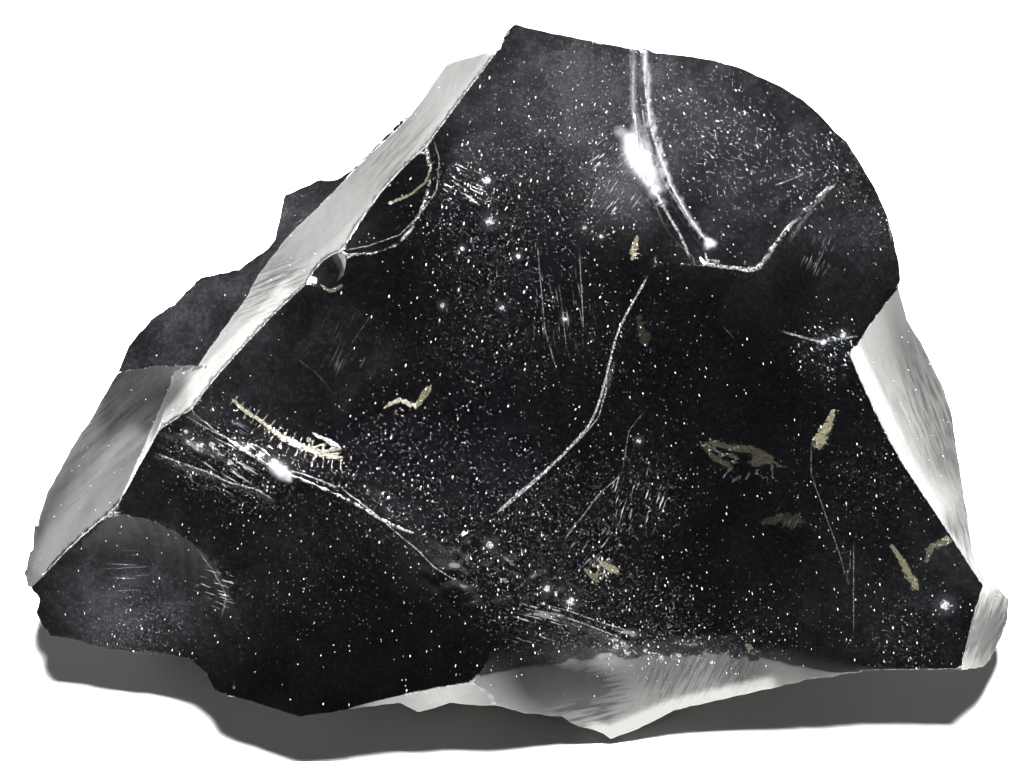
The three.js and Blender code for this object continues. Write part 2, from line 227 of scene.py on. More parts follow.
# brushed streaks: u, v, radius, way in degrees, pitch, strength
STREAK_SPOTS = [
    (10.2, 22.2, 2.6, 42, 0.5, 1.5), (10.6, 18.6, 2.4, 55, 0.45, 1.4), (-4.7, 19.8, 2.6, -28, 0.45, 0.7),
    (4.9, 7.1, 4.5, -82, 0.55, 0.25), (12.7, -12.2, 3.2, 72, 0.5, 1.7), (8.6, -16.6, 3.0, 50, 0.5, 0.6),
    (31.3, 12.7, 2.2, 66, 0.5, 0.35), (-28.2, -8.2, 4.0, -32, 0.6, 0.8),
    (3.0, -24.4, 3.4, -18, 0.55, 0.6),
    (-29.8, -20.8, 2.4, -18, 0.5, 0.8), (-39.2, -19.4, 2.4, 2, 1.2, 0.25),
    (19.0, -31.0, 7.0, 62, 0.6, -0.4),
    (-16.4, 3.6, 4.0, 66, 0.8, 0.12), (44.6, -3.0, 9.0, -70, 0.7, -0.45), (48.4, -25.0, 4.5, 70, 0.7, -0.9),
    (-24.0, 8.5, 5.0, 22, 0.7, -0.9), (-11.5, 24.0, 6.0, 48, 0.9, -0.4),
    (-42.0, -6.0, 9.0, 40, 2.2, -0.5), (8.0, -33.0, 5.0, 12, 0.8, -0.5),
    (28.5, -13.5, 1.8, 60, 0.5, 0.12), (47.2, -16.0, 5.0, -76, 0.7, -0.7),
]
# painted highlights, on the lip of the groove and at a few glints on ridges: u, v, radius, strength
PAINTED_HIGHLIGHT_SPOTS = [
    (11.0, 25.3, 0.6, 0.45), (12.1, 24.6, 0.7, 0.7), (12.3, 23.7, 0.9, 0.8), (12.8, 22.6, 0.95, 0.9),
    (13.4, 21.5, 0.85, 0.9), (14.0, 20.3, 0.7, 0.85), (14.6, 19.2, 0.55, 0.8), (15.3, 18.0, 0.45, 0.7),
    (12.6, 22.4, 2.3, 0.16),
    (20.1, 13.8, 0.55, 0.8),
    (-24.2, -8.6, 0.55, 0.8), (-23.4, -9.3, 0.65, 0.9),
    (-22.6, -9.9, 0.45, 0.7),
]
# painted highlight lines along the edges of the groove: line, reach, strength
PAINTED_HIGHLIGHT_LINES = [
    ([(12.4, 34.0), (12.4, 28.0), (12.8, 25.4)], 0.50, 0.30),
    ([(13.7, 34.0), (13.8, 30.8), (14.0, 28.0), (14.5, 25.2), (15.4, 22.4), (16.3, 19.9)], 0.34, 0.50),
    ([(16.3, 19.9), (17.8, 16.9), (19.2, 15.0), (20.1, 13.9)], 0.28, 0.42),
    ([(13.1, 26.5), (13.7, 24.0), (14.6, 21.4), (15.6, 19.2)], 0.34, 0.22),
]
# grey bloom of a dusty film, and painted sheen strongest towards the top of the broad face, with a painted
# glow about the groove's highlight: u, v, radius, strength
HAZE_AND_SHEEN_SPOTS = [
    (4, 33, 8, 0.95), (9, 29, 6, 0.4), (18, 28, 8, 0.95), (13.2, 31, 1.6, 0.7), (27, 22, 7, 0.30),
    (-3, 26, 6, 0.45), (8, 23, 6, 0.55),
    (36, 15, 7, 0.40), (-40, -22, 7, 1.15), (-33, -23, 4, 0.35), (-17, 3, 5, 0.28), (12, 19, 3, 0.7),
    (-24, -17, 8, 0.12), (-26, -1, 6, 0.14), (36, -24, 9, 0.16), (6, -29, 5, 0.4), (46, -18, 6, 0.2),
    (-44, -6, 9, 0.35), (30, 23, 6, 0.35), (20, 30, 6, 0.25), (13, 21.5, 2.6, 2.2), (22, 16, 6, 0.30),
    (-33, 8, 8, 0.95), (-22, 17, 5, 1.3), (-28, 10.5, 3, 0.4),
]
# well polished, or dull where below 0: u, v, radius, strength
POLISH_SPOTS = [
    (-26.5, 6.1, 4, 0.25), (-31.6, 1.1, 4, 0.15), (-5.2, 29.5, 5, 0.10), (-22.8, 13.2, 3, -0.10),
    (-41.7, -10.1, 9, 0.25), (-44.5, -20.0, 4, 0.40), (-3.5, 31.0, 3, -0.12),
    (-34.6, -1.2, 1.7, -0.25), (-36.6, -4.4, 1.2, -0.15),
    (40.0, 1.0, 3.0, -0.05), (43.0, -12.5, 2.5, 0.45), (39.4, 4.1, 4, -0.12),
    (48.4, -25.3, 3.5, -0.55), (47.8, -22.3, 1.8, 0.20),
    (4.9, -30.4, 3.5, -0.45), (0.9, -28.6, 4, -0.40), (9.0, -31.2, 3.0, -0.35), (15.0, -30.0, 4, -0.25),
    (24.0, -29.8, 4, -0.35), (31.0, -29.0, 3, -0.30), (2.0, -33.5, 3.0, -0.20),
    (-6.9, -32.4, 3.0, 0.25), (-16.6, -33.3, 2.4, -0.50), (5.5, -27.4, 1.6, 0.45),
    (9.5, -27.7, 1.6, 0.45), (-14, 22, 6, -0.06),
]
POLISH_LINES = [
    (BEVEL_RIM[:6], 1.2, 0.15), (BEVEL_RIM[5:9], 1.3, 0.45), (BEVEL_RIM[8:], 4.5, 0.40),
    ([(34.7, 3.3), (39.2, -6.0), (44.0, -16.0), (48.6, -21.1)], 1.0, 0.35),
    ([(8.0, -35.8), (10.1, -36.3), (16.4, -33.5), (26.5, -31.2)], 1.6, 0.75),
]
DULL_LINES = [
    ([(40.5, 10.0), (42.6, 4.0), (45.0, -3.0), (46.3, -9.0), (47.0, -15.0)], 5.0, 0.28),
    ([(-41.5, 0.5), (-33.0, 0.5)], 8.0, 0.38),
]
# dust: u, v, radius, strength
DUST_SPOTS = [
    (11.0, -27.2, 1.6, 1.0), (14.5, -27.6, 1.8, 1.1), (18.5, -28.2, 1.8, 1.0), (22.5, -28.8, 1.8, 0.8),
    (-2, 17, 6, 1.0), (-3, 19, 3, 0.6), (8, 20, 5, 0.8), (-31, -7, 4, 0.9), (-26, -9, 4, 0.9),
    (2, -14, 6, 0.8), (4, -22, 7, 0.9), (14, -11, 6, 0.5), (32, 3, 3, 0.9), (14, -26, 6, 0.8),
    (26, -26.5, 5, 0.5), (36, -10, 7, 0.4), (-14, -8, 5, 0.5), (40, -26, 6, 0.5), (-38, -26, 5, 0.6),
    (22, 24, 9, 0.30), (5, 28, 8, 0.35), (-3, 5, 8, 0.5), (33, 21, 3, 0.8), (37, 16, 3, 0.5),
    (-6, -12, 8, 0.5), (-20, -18, 8, 0.25), (12, 4, 8, 0.3), (6, -33, 6, -0.6), (18, -32, 5, -0.6),
    (29, -31, 5, -0.4),
]
# clay films: line, half width, tint from dim olive 0 to bright tan 1
CLAY_FILMS = [
    ([(-28.3, -1.9), (-27.2, -3.0), (-25.3, -4.2), (-23.4, -5.7), (-21.8, -6.5), (-19.4, -7.4),
      (-17.4, -7.7)], 0.30, 0.85),
    ([(-20.2, -5.4), (-18.8, -6.0), (-17.5, -6.8)], 0.24, 0.7),
    ([(-13.0, -2.8), (-11.4, -1.9), (-9.8, -2.6), (-9.1, -1.9), (-8.3, -0.7)], 0.30, 0.75),
    ([(12.7, 14.6), (12.3, 12.6)], 0.36, 0.8), ([(12.8, 6.4), (13.6, 4.0)], 0.5, 0.12),
    ([(19.3, -6.5), (20.4, -7.7), (22.3, -8.8)], 0.34, 0.22),
    ([(19.3, -6.5), (20.7, -6.2), (22.3, -6.9), (24.1, -6.9), (26.1, -7.9), (24.4, -8.3)], 0.42, 0.25),
    ([(22.3, -10.3), (22.9, -9.8)], 0.22, 0.2), ([(23.7, -10.0), (24.2, -9.3)], 0.20, 0.2),
    ([(25.4, -14.4), (27.2, -14.0), (29.1, -14.3)], 0.62, 0.10),
    ([(32.7, -3.1), (31.9, -4.8), (31.1, -6.4)], 0.55, 0.92),
    ([(7.4, -19.1), (8.6, -20.2)], 0.34, 0.6), ([(8.6, -18.0), (9.6, -18.8), (10.6, -19.3)], 0.36, 0.9),
    ([(38.5, -16.6), (39.6, -18.4), (41.0, -20.9)], 0.38, 0.75),
    ([(42.1, -18.4), (42.5, -16.9), (44.4, -16.2)], 0.40, 0.5), ([(-1.2, -20.0), (-0.4, -20.4)], 0.22, 0.6),
    ([(23.6, -26.6), (24.2, -27.1)], 0.24, 0.6), ([(-0.9, -17.8), (0.2, -18.6)], 0.2, 0.4),
    ([(-8.0, 22.3), (-8.6, 20.2), (-10.3, 18.8), (-12.6, 17.9)], 0.14, 0.7),
    ([(-19.4, 9.8), (-18.5, 9.0), (-17.3, 9.6)], 0.20, 0.6), ([(32.4, 20.0), (31.2, 18.2)], 0.22, 0.3),
    ([(19.6, 12.3), (21.0, 12.0)], 0.16, 0.5),
]
# painted glints, small bright spots with a painted halo: u, v, radius
PAINTED_GLINTS = [
    (10.6, -27.0, 0.38), (11.8, -27.7, 0.30), (13.6, -27.4, 0.28), (15.2, -28.1, 0.34), (17.0, -27.9, 0.26),
    (20.3, -28.6, 0.26), (-33.0, -5.2, 0.28), (-31.8, -6.6, 0.30), (-29.7, -7.4, 0.26), (-27.4, -6.9, 0.30),
    (44.0, -22.8, 0.6),
    (-2.2, 16.1, 0.5), (-2.5, 20.3, 0.45), (-2.2, -16.7, 0.45), (3.6, -21.1, 0.42), (6.0, -22.4, 0.5),
    (-30.4, -6.5, 0.35), (-28.6, -8.3, 0.32), (0.7, 12.6, 0.3), (-7.0, 7.6, 0.3), (-1.0, 7.4, 0.32),
    (12.9, -6.1, 0.3), (5.4, 6.2, 0.3), (-12.4, 25.2, 0.3), (9.1, 14.6, 0.28), (-5.0, 13.4, 0.28),
    (7.4, 15.5, 0.25), (33.6, 4.6, 0.4), (31.6, 3.9, 0.35), (-30.4, 18.3, 0.25),
]
# the marks' strength where no spot or line is placed, in front and on the hidden sides
EVEN_WEAR, HIDDEN_WEAR = 0.14, 0.35
EVEN_DUST, LEAST_DUST, HIDDEN_DUST = 0.10, 0.02, 0.25
EVEN_HAZE, HIDDEN_HAZE = 0.04, 0.35
EVEN_POLISH, HIDDEN_POLISH = 0.53, 0.26


def in_box(flat, line, margin):
    """Which places lie in a line's own box, widened by a margin."""
    pts = np.array(line, float)
    return ((flat > pts.min(0) - margin) & (flat < pts.max(0) + margin)).all(1)


def along_line(flat, line):
    """Signed distance to a line, the place along it and its length, in mm."""
    pts = np.array(line, float)
    steps = np.diff(pts, axis=0)
    runs = np.linalg.norm(steps, axis=1)
    start = np.concatenate([[0], np.cumsum(runs)])
    near, signed, place = np.full(len(flat), 99.0), np.full(len(flat), 99.0), np.zeros(len(flat))
    for i, (a, ab, run) in enumerate(zip(pts[:-1], steps, runs)):
        share = ((flat - a) @ ab) / run ** 2
        inner = np.clip(share, 0, 1)
        away = np.linalg.norm(flat - a - inner[:, None] * ab, axis=1)
        across = (flat - a) @ np.array([-ab[1], ab[0]]) / run
        past = (share < 0) & (i == 0) | (share > 1) & (i == len(runs) - 1)
        closer = away < near
        near = np.where(closer, away, near)
        signed = np.where(closer, np.where(past, across, np.copysign(away, across)), signed)
        place = np.where(closer, start[i] + share * run, place)
    return signed, place, start[-1]


# ---------------------------------------------------------------- frames
def turned_out(directions):
    """Directions from the shaping frame to the part's standing frame."""
    c, s = math.cos(LEAN_BACK), math.sin(LEAN_BACK)
    u, v, w = (directions[..., k] for k in range(3))
    return np.stack([u, v * c - w * s, v * s + w * c], -1)


def turned_in(directions):
    """Directions from the standing frame to the shaping frame."""
    c, s = math.cos(LEAN_BACK), math.sin(LEAN_BACK)
    x, y, z = (directions[..., k] for k in range(3))
    return np.stack([x, y * c + z * s, -y * s + z * c], -1)


def to_standing(p):
    """Places from the shaping frame to the standing frame, in mm."""
    return turned_out(p) + CENTRE


def to_shaping(p):
    """Places from the standing frame to the shaping frame, in mm."""
    return turned_in(p - CENTRE)


def unshifted(point):
    """A hidden side's point, given before the centre shift, in the shaping frame."""
    return turned_in(np.array(point, float) - (0, 0, FACE_HEIGHT))


def bearing(azimuth, rise=0.0):
    """A direction in the standing frame, from its angle round and its rise in degrees."""
    a, r = math.radians(azimuth), math.radians(rise)
    return np.array([math.cos(a) * math.cos(r), math.sin(a) * math.cos(r), math.sin(r)])


# ---------------------------------------------------------------- surfaces
def soft_waves(seed, wavelength, count=7):
    """A gentle, repeatable unevenness of height 1: a few crossing waves."""
    rng = np.random.default_rng(seed)
    ways = rng.normal(size=(count, 3))
    ways /= np.linalg.norm(ways, axis=1, keepdims=True)
    pace = 2 * math.pi / (wavelength * rng.uniform(0.6, 1.6, count))
    start = rng.uniform(0, 2 * math.pi, count)

    def height(p):
        total = 0.0
        for way, k, t in zip(ways, pace, start):
            total = total + np.sin(p @ (way * k) + t)
        return total / count
    return height


class Ball:
    """A hollow scar: outside the stone within the ball."""

    def __init__(self, centre, radius):
        self.centre, self.radius = centre, radius

    def value(self, p):
        return self.radius - np.sqrt(((p - self.centre) ** 2).sum(-1))


def through(a, b, c, radius, facing=(0, 0, 1)):
    """The hollow through three rim points, its centre out on the facing side."""
    a, b, c = (np.array(RIM[q] if isinstance(q, str) else q, float) for q in (a, b, c))
    ab, ac = b - a, c - a
    cross = np.cross(ab, ac)
    normal = cross / np.linalg.norm(cross)
    if normal @ np.asarray(facing, float) < 0:
        normal = -normal
    middle = (np.cross(cross, ab) * (ac @ ac) + np.cross(ac, cross) * (ab @ ab)) / (2 * cross @ cross)
    lift = math.sqrt(radius ** 2 - middle @ middle)
    return Ball(a + middle + normal * lift, radius)


def side(point, azimuth, rise, radius):
    """A hidden side's hollow: a point on it, the way it faces and its radius."""
    return Ball(unshifted(point) + radius * turned_in(bearing(azimuth, rise)), radius)


def side_through(points, radius, facing):
    """A hidden side's hollow through three points."""
    facing = turned_in(np.array(facing, float))
    return through(*[unshifted(q) for q in points], radius, facing)


class Tube:
    """A round-bottomed groove along a line."""

    def __init__(self, line, radius, height):
        pts = np.array(line, float) + (0, 0, height)
        t = np.linspace(0, len(pts) - 1, 4 * len(pts))
        self.line = np.stack([np.interp(t, range(len(pts)), pts[:, k]) for k in range(3)], 1)
        self.radius = radius

    def value(self, p):
        best = np.full(p.shape[:-1], 1e9)
        for a, b in zip(self.line[:-1], self.line[1:]):
            ab = b - a
            t = np.clip(((p - a) @ ab) / (ab @ ab), 0, 1)
            best = np.minimum(best, ((p - a - t[..., None] * ab) ** 2).sum(-1))
        return self.radius - np.sqrt(best)


class Floor:
    """The flat resting face."""

    def value(self, p):
        c, s = math.cos(LEAN_BACK), math.sin(LEAN_BACK)
        return -(p[..., 1] * s + p[..., 2] * c + FACE_HEIGHT)


def rounded(corners, steps=5):
    """The same corners joined by a smooth curve through them."""
    pts = np.array([corners[0], *corners, corners[-1]], float)
    t = np.arange(steps)[:, None] / steps
    curve = []
    for a, b, c, d in zip(pts[:-3], pts[1:-2], pts[2:-1], pts[3:]):
        curve += list(0.5 * (2 * b + (c - a) * t + (2 * a - 5 * b + 4 * c - d) * t ** 2
                             + (3 * b - a - 3 * c + d) * t ** 3))
    return [tuple(q) for q in curve] + [corners[-1]]


class Outline:
    """The lump's outline carried through its depth: a distance map of the drawn outline."""
    STEP = 0.1
    MARGIN = 8.0

    def __init__(self, corners):
        pts = np.array(corners, float)
        low, high = pts.min(0) - self.MARGIN, pts.max(0) + self.MARGIN
        self.low = low
        nx, ny = (np.ceil((high - low) / self.STEP).astype(int) + 1)
        x = low[0] + self.STEP * np.arange(nx)
        y = low[1] + self.STEP * np.arange(ny)
        gx, gy = np.meshgrid(x, y, indexing="ij")
        best = np.full(gx.shape, 1e9)
        inside = np.zeros(gx.shape, bool)
        for a, b in zip(pts, np.roll(pts, -1, 0)):
            ab = b - a
            t = np.clip(((gx - a[0]) * ab[0] + (gy - a[1]) * ab[1]) / (ab @ ab), 0, 1)
            best = np.minimum(best, (gx - a[0] - t * ab[0]) ** 2 + (gy - a[1] - t * ab[1]) ** 2)
            if ab[1]:
                crosses = (a[1] > gy) != (b[1] > gy)
                inside ^= crosses & (gx < a[0] + (gy - a[1]) * ab[0] / ab[1])
        self.map = np.where(inside, -1, 1) * np.sqrt(best)

    def value(self, p):
        narrowing = 1 - p[..., 2] / OUTLINE_TAPER
        i = np.clip((p[..., 0] / narrowing - self.low[0]) / self.STEP, 0, self.map.shape[0] - 1.001)
        j = np.clip((p[..., 1] / narrowing - self.low[1]) / self.STEP, 0, self.map.shape[1] - 1.001)
        i0, j0 = i.astype(int), j.astype(int)
        a, b = i - i0, j - j0
        m = self.map
        return narrowing * ((m[i0, j0] * (1 - a) + m[i0 + 1, j0] * a) * (1 - b)
                            + (m[i0, j0 + 1] * (1 - a) + m[i0 + 1, j0 + 1] * a) * b)


class Face:
    """One fracture face: one or more hollows melted together, with its own fine relief."""

    def __init__(self, name, mass, shapes, blend=(), strike=None, ripple=0.0, ring=2.4,
                 waves=0.05, wavelength=13.0):
        self.name, self.mass, self.shapes, self.blend = name, mass, shapes, blend
        self.strike, self.ripple, self.ring = strike, ripple, ring
        self.waves = waves
        seed = sum(ord(letter) * (k + 3) for k, letter in enumerate(name))
        self.unevenness = soft_waves(seed, wavelength)
        self.wander = soft_waves(seed + 1, 9.0)

    def value(self, p):
        total = self.shapes[0].value(p)
        for shape, reach in zip(self.shapes[1:], self.blend):
            other = shape.value(p)
            t = np.clip(0.5 + 0.5 * (total - other) / reach, 0, 1)
            total = other + (total - other) * t + reach * t * (1 - t)
        total = total + self.waves * self.unevenness(p)
        return total + self.ripple * self.ribs(p) if self.ripple else total

    def ribs(self, p):
        """Ribs in rings about the strike point, coming and going."""
        r = np.sqrt(((p - np.array(self.strike)) ** 2).sum(-1))
        strength = np.clip(0.6 + 1.6 * self.wander(p), 0, 1.5)
        return strength * np.sin(2 * math.pi * (r / self.ring) ** 1.08)


def broad_faces():
    slab = through("apex", "slab_left", "ridge_top", 130)
    centre_bowl = through("ridge_middle", "ridge_foot", "hollow_top", 55)
    left_hollow = through("bevel_middle", "band_left", "hollow_foot", 35)
    right_bowl = through("ledge_left", "ridge_middle", "ledge_middle", 60)
    shelf = through("ledge_middle", "ledge_right", "right_face_middle", 80)
    low_centre = through("ridge_foot", "low_face_top", (34.7, -22.5, -4.2), 160)
    low_hollow = through((-14.2, -23.5, -4.6), (-0.7, -26.5, -3.4), (-9.4, -32.2, -6.2), 70)
    low_right = through((30.3, -6.1, -3.9), "right_face_low", "low_edge_right", 90)
    low_edge_face = through("low_face_top", "low_face_right", "tip", 120, bearing(255))
    return [
        Face("upper slab", "all", [slab, centre_bowl, left_hollow], blend=(1.6, 1.6)),
        Face("lobe", "all", [through("top_middle", "top_right", "ledge_middle", 170)]),
        Face("right bowl", "all", [right_bowl, shelf, low_right, low_centre, low_edge_face],
             blend=(0.5, 1.6, 1.6, 3.6)),
        Face("low left", "all", [through("bevel_low", "band_right", "low_edge_left", 90), low_hollow],
             blend=(1.2,)),
    ]


def small_faces():
    shell = through((-34.2, -14.9, -7.4), (-29.5, -23.7, -8.6), (-46.9, -21.2, -10.8), 34)
    bite = through((-7.6, 24.2, -2.4), (-7.5, 19.4, -2.3), (-16.6, 13.2, -3.2), 22)
    chip = through((-17.2, 10.4, -3.4), (-19.6, 9.0, -3.9), (-20.0, 11.4, -4.8), 4)
    return [
        Face("shell", "all", [shell], strike=(-49, -19, -10), ripple=0.012, ring=1.7),
        Face("bite", "all", [bite], strike=(-15, 22, -4), ripple=0.012, ring=2.2),
        Face("chip", "all", [chip], strike=(-20, 12, -4), ripple=0.02, ring=0.9),
        Face("groove", "all", [Tube(GROOVE_LINE, GROOVE_RADIUS, GROOVE_HEIGHT)], waves=0.03),
    ]


def low_edge_faces():
    strip = through((-13.4, -33.0, -6.8), (-0.4, -32.9, -7.0), (-6.9, -31.4, -5.65), 60, bearing(268))
    corner = through("right_face_low", "corner_low", "corner_outer", 60, bearing(338))
    return [
        Face("low strip", "all", [strip]),
        Face("corner face", "all", [corner], strike=(48, -20, -7), ripple=0.02, ring=1.6),
    ]


def far_faces():
    rows = [
        ("far left of peak", (2, 34.2, 33), 99, 13, 46), ("far middle", (19, 30.5, 24), 80, 0, 75),
        ("far right", (34.5, 25.2, 27), 54, 13, 38), ("right end", (46, 9, 10), 25, 0, 40),
        ("far left", (-12.6, 30.1, 16), 116, -3, 70), ("left rear", (-27, 23.3, 15), 133, 8, 34),
        ("left end", (-40, 13.5, 7), 152, -2, 50),
    ]
    return [Face(name, "all", [side(point, azimuth, rise, radius)],
                 strike=unshifted((point[0] - 8, point[1] + 4, point[2] + 22)),
                 ripple=0.035, ring=3.4, waves=0.14)
            for name, point, azimuth, rise, radius in rows]


def undercut_faces():
    rows = [
        ("under left", [(-51, 6, 12), (-49.5, -19, 9), (-36, -8, 0)], 60, (-1, 0, -1)),
        ("under front left", [(-44, -21, 7.5), (-8, -29.5, 5.5), (-22, -17.5, 0)], 120, (0, -1, -1)),
        ("under front right", [(12, -27.5, 0.5), (48, -24, 9), (34, -10, 0)], 70, (0, -1, -1)),
        ("under right", [(53.5, -17, 8.5), (50, 6, 10), (40, -4, 0)], 60, (1, 0, -1)),
    ]
    return [Face(name, "all", [side_through(points, radius, facing)],
                 strike=unshifted(points[0]), ripple=0.02, ring=3.0, waves=0.08)
            for name, points, radius, facing in rows]


def mass_faces():
    """Faces that belong to one of the four masses, its outline among them."""
    bevel = through("bevel_top", "bevel_low", "bevel_outer", 260, bearing(139))
    low_bevel = through("bevel_low", (-40.7, -13.4, -6.9), (-37.3, -5.7, -8.3), 200, bearing(151))
    grey = through((-32.0, 1.2, -7.6), (-42.3, -14.2, -8.6), (-47.0, -11.2, -14.6), 200, bearing(150))
    bright = through("notch", "right_face_low", "right_face_outer", 200, bearing(27))
    underside = through("lobe_end", "notch", (32.7, 5.3, -20), 60, bearing(320))
    ledge = through((-41.4, -1.0, -19), (-29.6, 9.5, -17.5), (-27.5, 5.3, -16), 30)
    upper_ledge = through((-23.8, 19.5, -17), (-18.0, 20.8, -16), (-22.2, 15.2, -15), 25)
    top = rounded(TOP_OUTLINE)
    whole = top + RIGHT_OUTLINE + LOW_OUTLINE + LEFT_OUTLINE + BEVEL_OUTLINE
    rim = dict(waves=0.10, wavelength=1.9)
    return [
        Face("left bevel", "main", [bevel], waves=0.06),
        Face("low bevel", "main", [low_bevel], waves=0.06, wavelength=5.0),
        Face("grey face", "slope", [grey], strike=(-27, -24, -10), ripple=0.022, ring=5.0, waves=0.10),
        Face("grey outline", "slope", [Outline(LEFT_OUTLINE + GREY_INNER_OUTLINE)], **rim),
        Face("right face", "main", [bright], waves=0.08),
        Face("main outline", "main", [Outline(whole)], **rim),
        Face("lobe underside", "lobe", [underside], strike=(38, 8, -8), ripple=0.02),
        Face("lobe outline", "lobe", [Outline(top + UNDER_LOBE_OUTLINE)], **rim),
        Face("ledge", "ledges", [ledge], strike=(-26, 2, -14), ripple=0.03, ring=4.0, waves=0.15),
        Face("upper ledge", "ledges", [upper_ledge], strike=(-18, 15, -15), ripple=0.04, ring=2.0),
        Face("ledge outline", "ledges", [Outline(LEDGE_OUTLINE)], **rim),
    ]


class Lump:
    """The whole stone: four masses joined, then cut by the scars they share."""

    def __init__(self):
        self.faces = (broad_faces() + small_faces() + low_edge_faces() + far_faces()
                      + undercut_faces() + mass_faces()
                      + [Face("resting face", "all", [Floor()], waves=0)])
        self.masses = ["main", "lobe", "slope", "ledges"]
        self.crumbs = [soft_waves(5, 3.3, 12), soft_waves(6, 1.7, 12)]

    def relief(self, p):
        """Raised lips and crushed ground on the broad face: how far they stand out."""
        flat = p[:, :2] / (1 - p[:, 2:3] / OUTLINE_TAPER)
        out = np.zeros(len(p))
        for line, height, width in LIPS:
            near = in_box(flat, line, 3 * width)
            across, place, length = along_line(flat[near], line)
            past = np.maximum(0, np.maximum(-place, place - length))
            out[near] += height * np.exp(-(across ** 2 + past ** 2) / width ** 2)
        for u, v, radius, height in CRUSHED_SPOTS:
            near = ((flat - (u, v)) ** 2).sum(1) < 6 * radius ** 2
            d2 = ((flat[near] - (u, v)) ** 2).sum(1) / radius ** 2
            out[near] += height * np.exp(-d2) * sum(crumb(p[near]) for crumb in self.crumbs)
        return out * np.clip((p[:, 2] + BROAD_FACE_DEPTH) / 3, 0, 1)

    def _highest(self, p, mass):
        best, who, second = None, None, None
        for i, face in enumerate(self.faces):
            if face.mass != mass:
                continue
            value = face.value(p)
            if best is None:
                best, who = value, np.full(value.shape, i)
                second = np.full(value.shape, -9.0)
            else:
                above = value > best
                second = np.where(above, best, np.maximum(second, value))
                best, who = np.where(above, value, best), np.where(above, i, who)
        return best, who, second

    def look(self, p):
        """Height over the surface, which face rules there, and the next face's height."""
        best, who, second = self._highest(p, "main")
        for mass in self.masses[1:]:
            value, w, s = self._highest(p, mass)
            lower = value < best
            best, who = np.where(lower, value, best), np.where(lower, w, who)
            second = np.where(lower, s, second)
        value, w, s = self._highest(p, "all")
        above = value > best
        second = np.where(above, np.maximum(best, s), np.maximum(second, value))
        raised = self.relief(p)
        return np.where(above, value, best) - raised, np.where(above, w, who), second - raised

    def height(self, p):
        return self.look(p)[0]


# ---------------------------------------------------------------- surface to mesh
def in_parts(work, p, size=BATCH):
    """Works a function out over many places, a batch at a time."""
    return np.concatenate([work(p[i:i + size]) for i in range(0, len(p), size)])


def slope(work, p, step=0.02):
    """Direction in which a height rises fastest."""
    out = np.zeros(p.shape)
    for k in range(3):
        d = np.zeros(3)
        d[k] = step
        out[:, k] = work(p + d) - work(p - d)
    return out / np.maximum(np.linalg.norm(out, axis=1, keepdims=True), 1e-9)


def grid_heights(height, low, count, cell, block=8):
    """Heights at the grid's corners, worked out only near the surface."""
    blocks = -(-count // block)
    size = blocks * block + 1
    middle = [low[k] + cell * block * (np.arange(blocks[k]) + 0.5) for k in range(3)]
    centres = np.stack(np.meshgrid(*middle, indexing="ij"), -1).reshape(-1, 3)
    coarse = in_parts(height, centres).reshape(blocks)
    half_diagonal = cell * block * math.sqrt(3) / 2
    near = np.abs(coarse) < 1.3 * half_diagonal
    grown = np.zeros(size, bool)
    fine = near
    rough = coarse
    for k in range(3):
        fine = np.repeat(fine, block, k)
        rough = np.repeat(rough, block, k)
    for i in (0, 1):
        for j in (0, 1):
            for k in (0, 1):
                grown[i:size[0] - 1 + i, j:size[1] - 1 + j, k:size[2] - 1 + k] |= fine
    values = np.pad(rough, ((0, 1),) * 3, mode="edge")
    spots = np.argwhere(grown)
    values[grown] = in_parts(height, low + cell * spots)
    return values


def find_crossings(height, values, low, cell):
    """Where the surface cuts the grid's edges: start corner, axis, way out and point."""
    starts, axes, outward, points = [], [], [], []
    for axis in range(3):
        first = np.take(values, range(values.shape[axis] - 1), axis)
        last = np.take(values, range(1, values.shape[axis]), axis)
        spots = np.argwhere((first < 0) != (last < 0))
        a = low + cell * spots
        b = a.copy()
        b[:, axis] += cell
        rising = first[tuple(spots.T)] < 0
        inner, outer = np.where(rising[:, None], a, b), np.where(rising[:, None], b, a)
        for _ in range(HALVINGS):
            half = (inner + outer) / 2
            below = in_parts(height, half) < 0
            inner = np.where(below[:, None], half, inner)
            outer = np.where(below[:, None], outer, half)
        starts.append(spots)
        axes.append(np.full(len(spots), axis))
        outward.append(rising)
        points.append((inner + outer) / 2)
    return tuple(np.concatenate(q) for q in (starts, axes, outward, points))


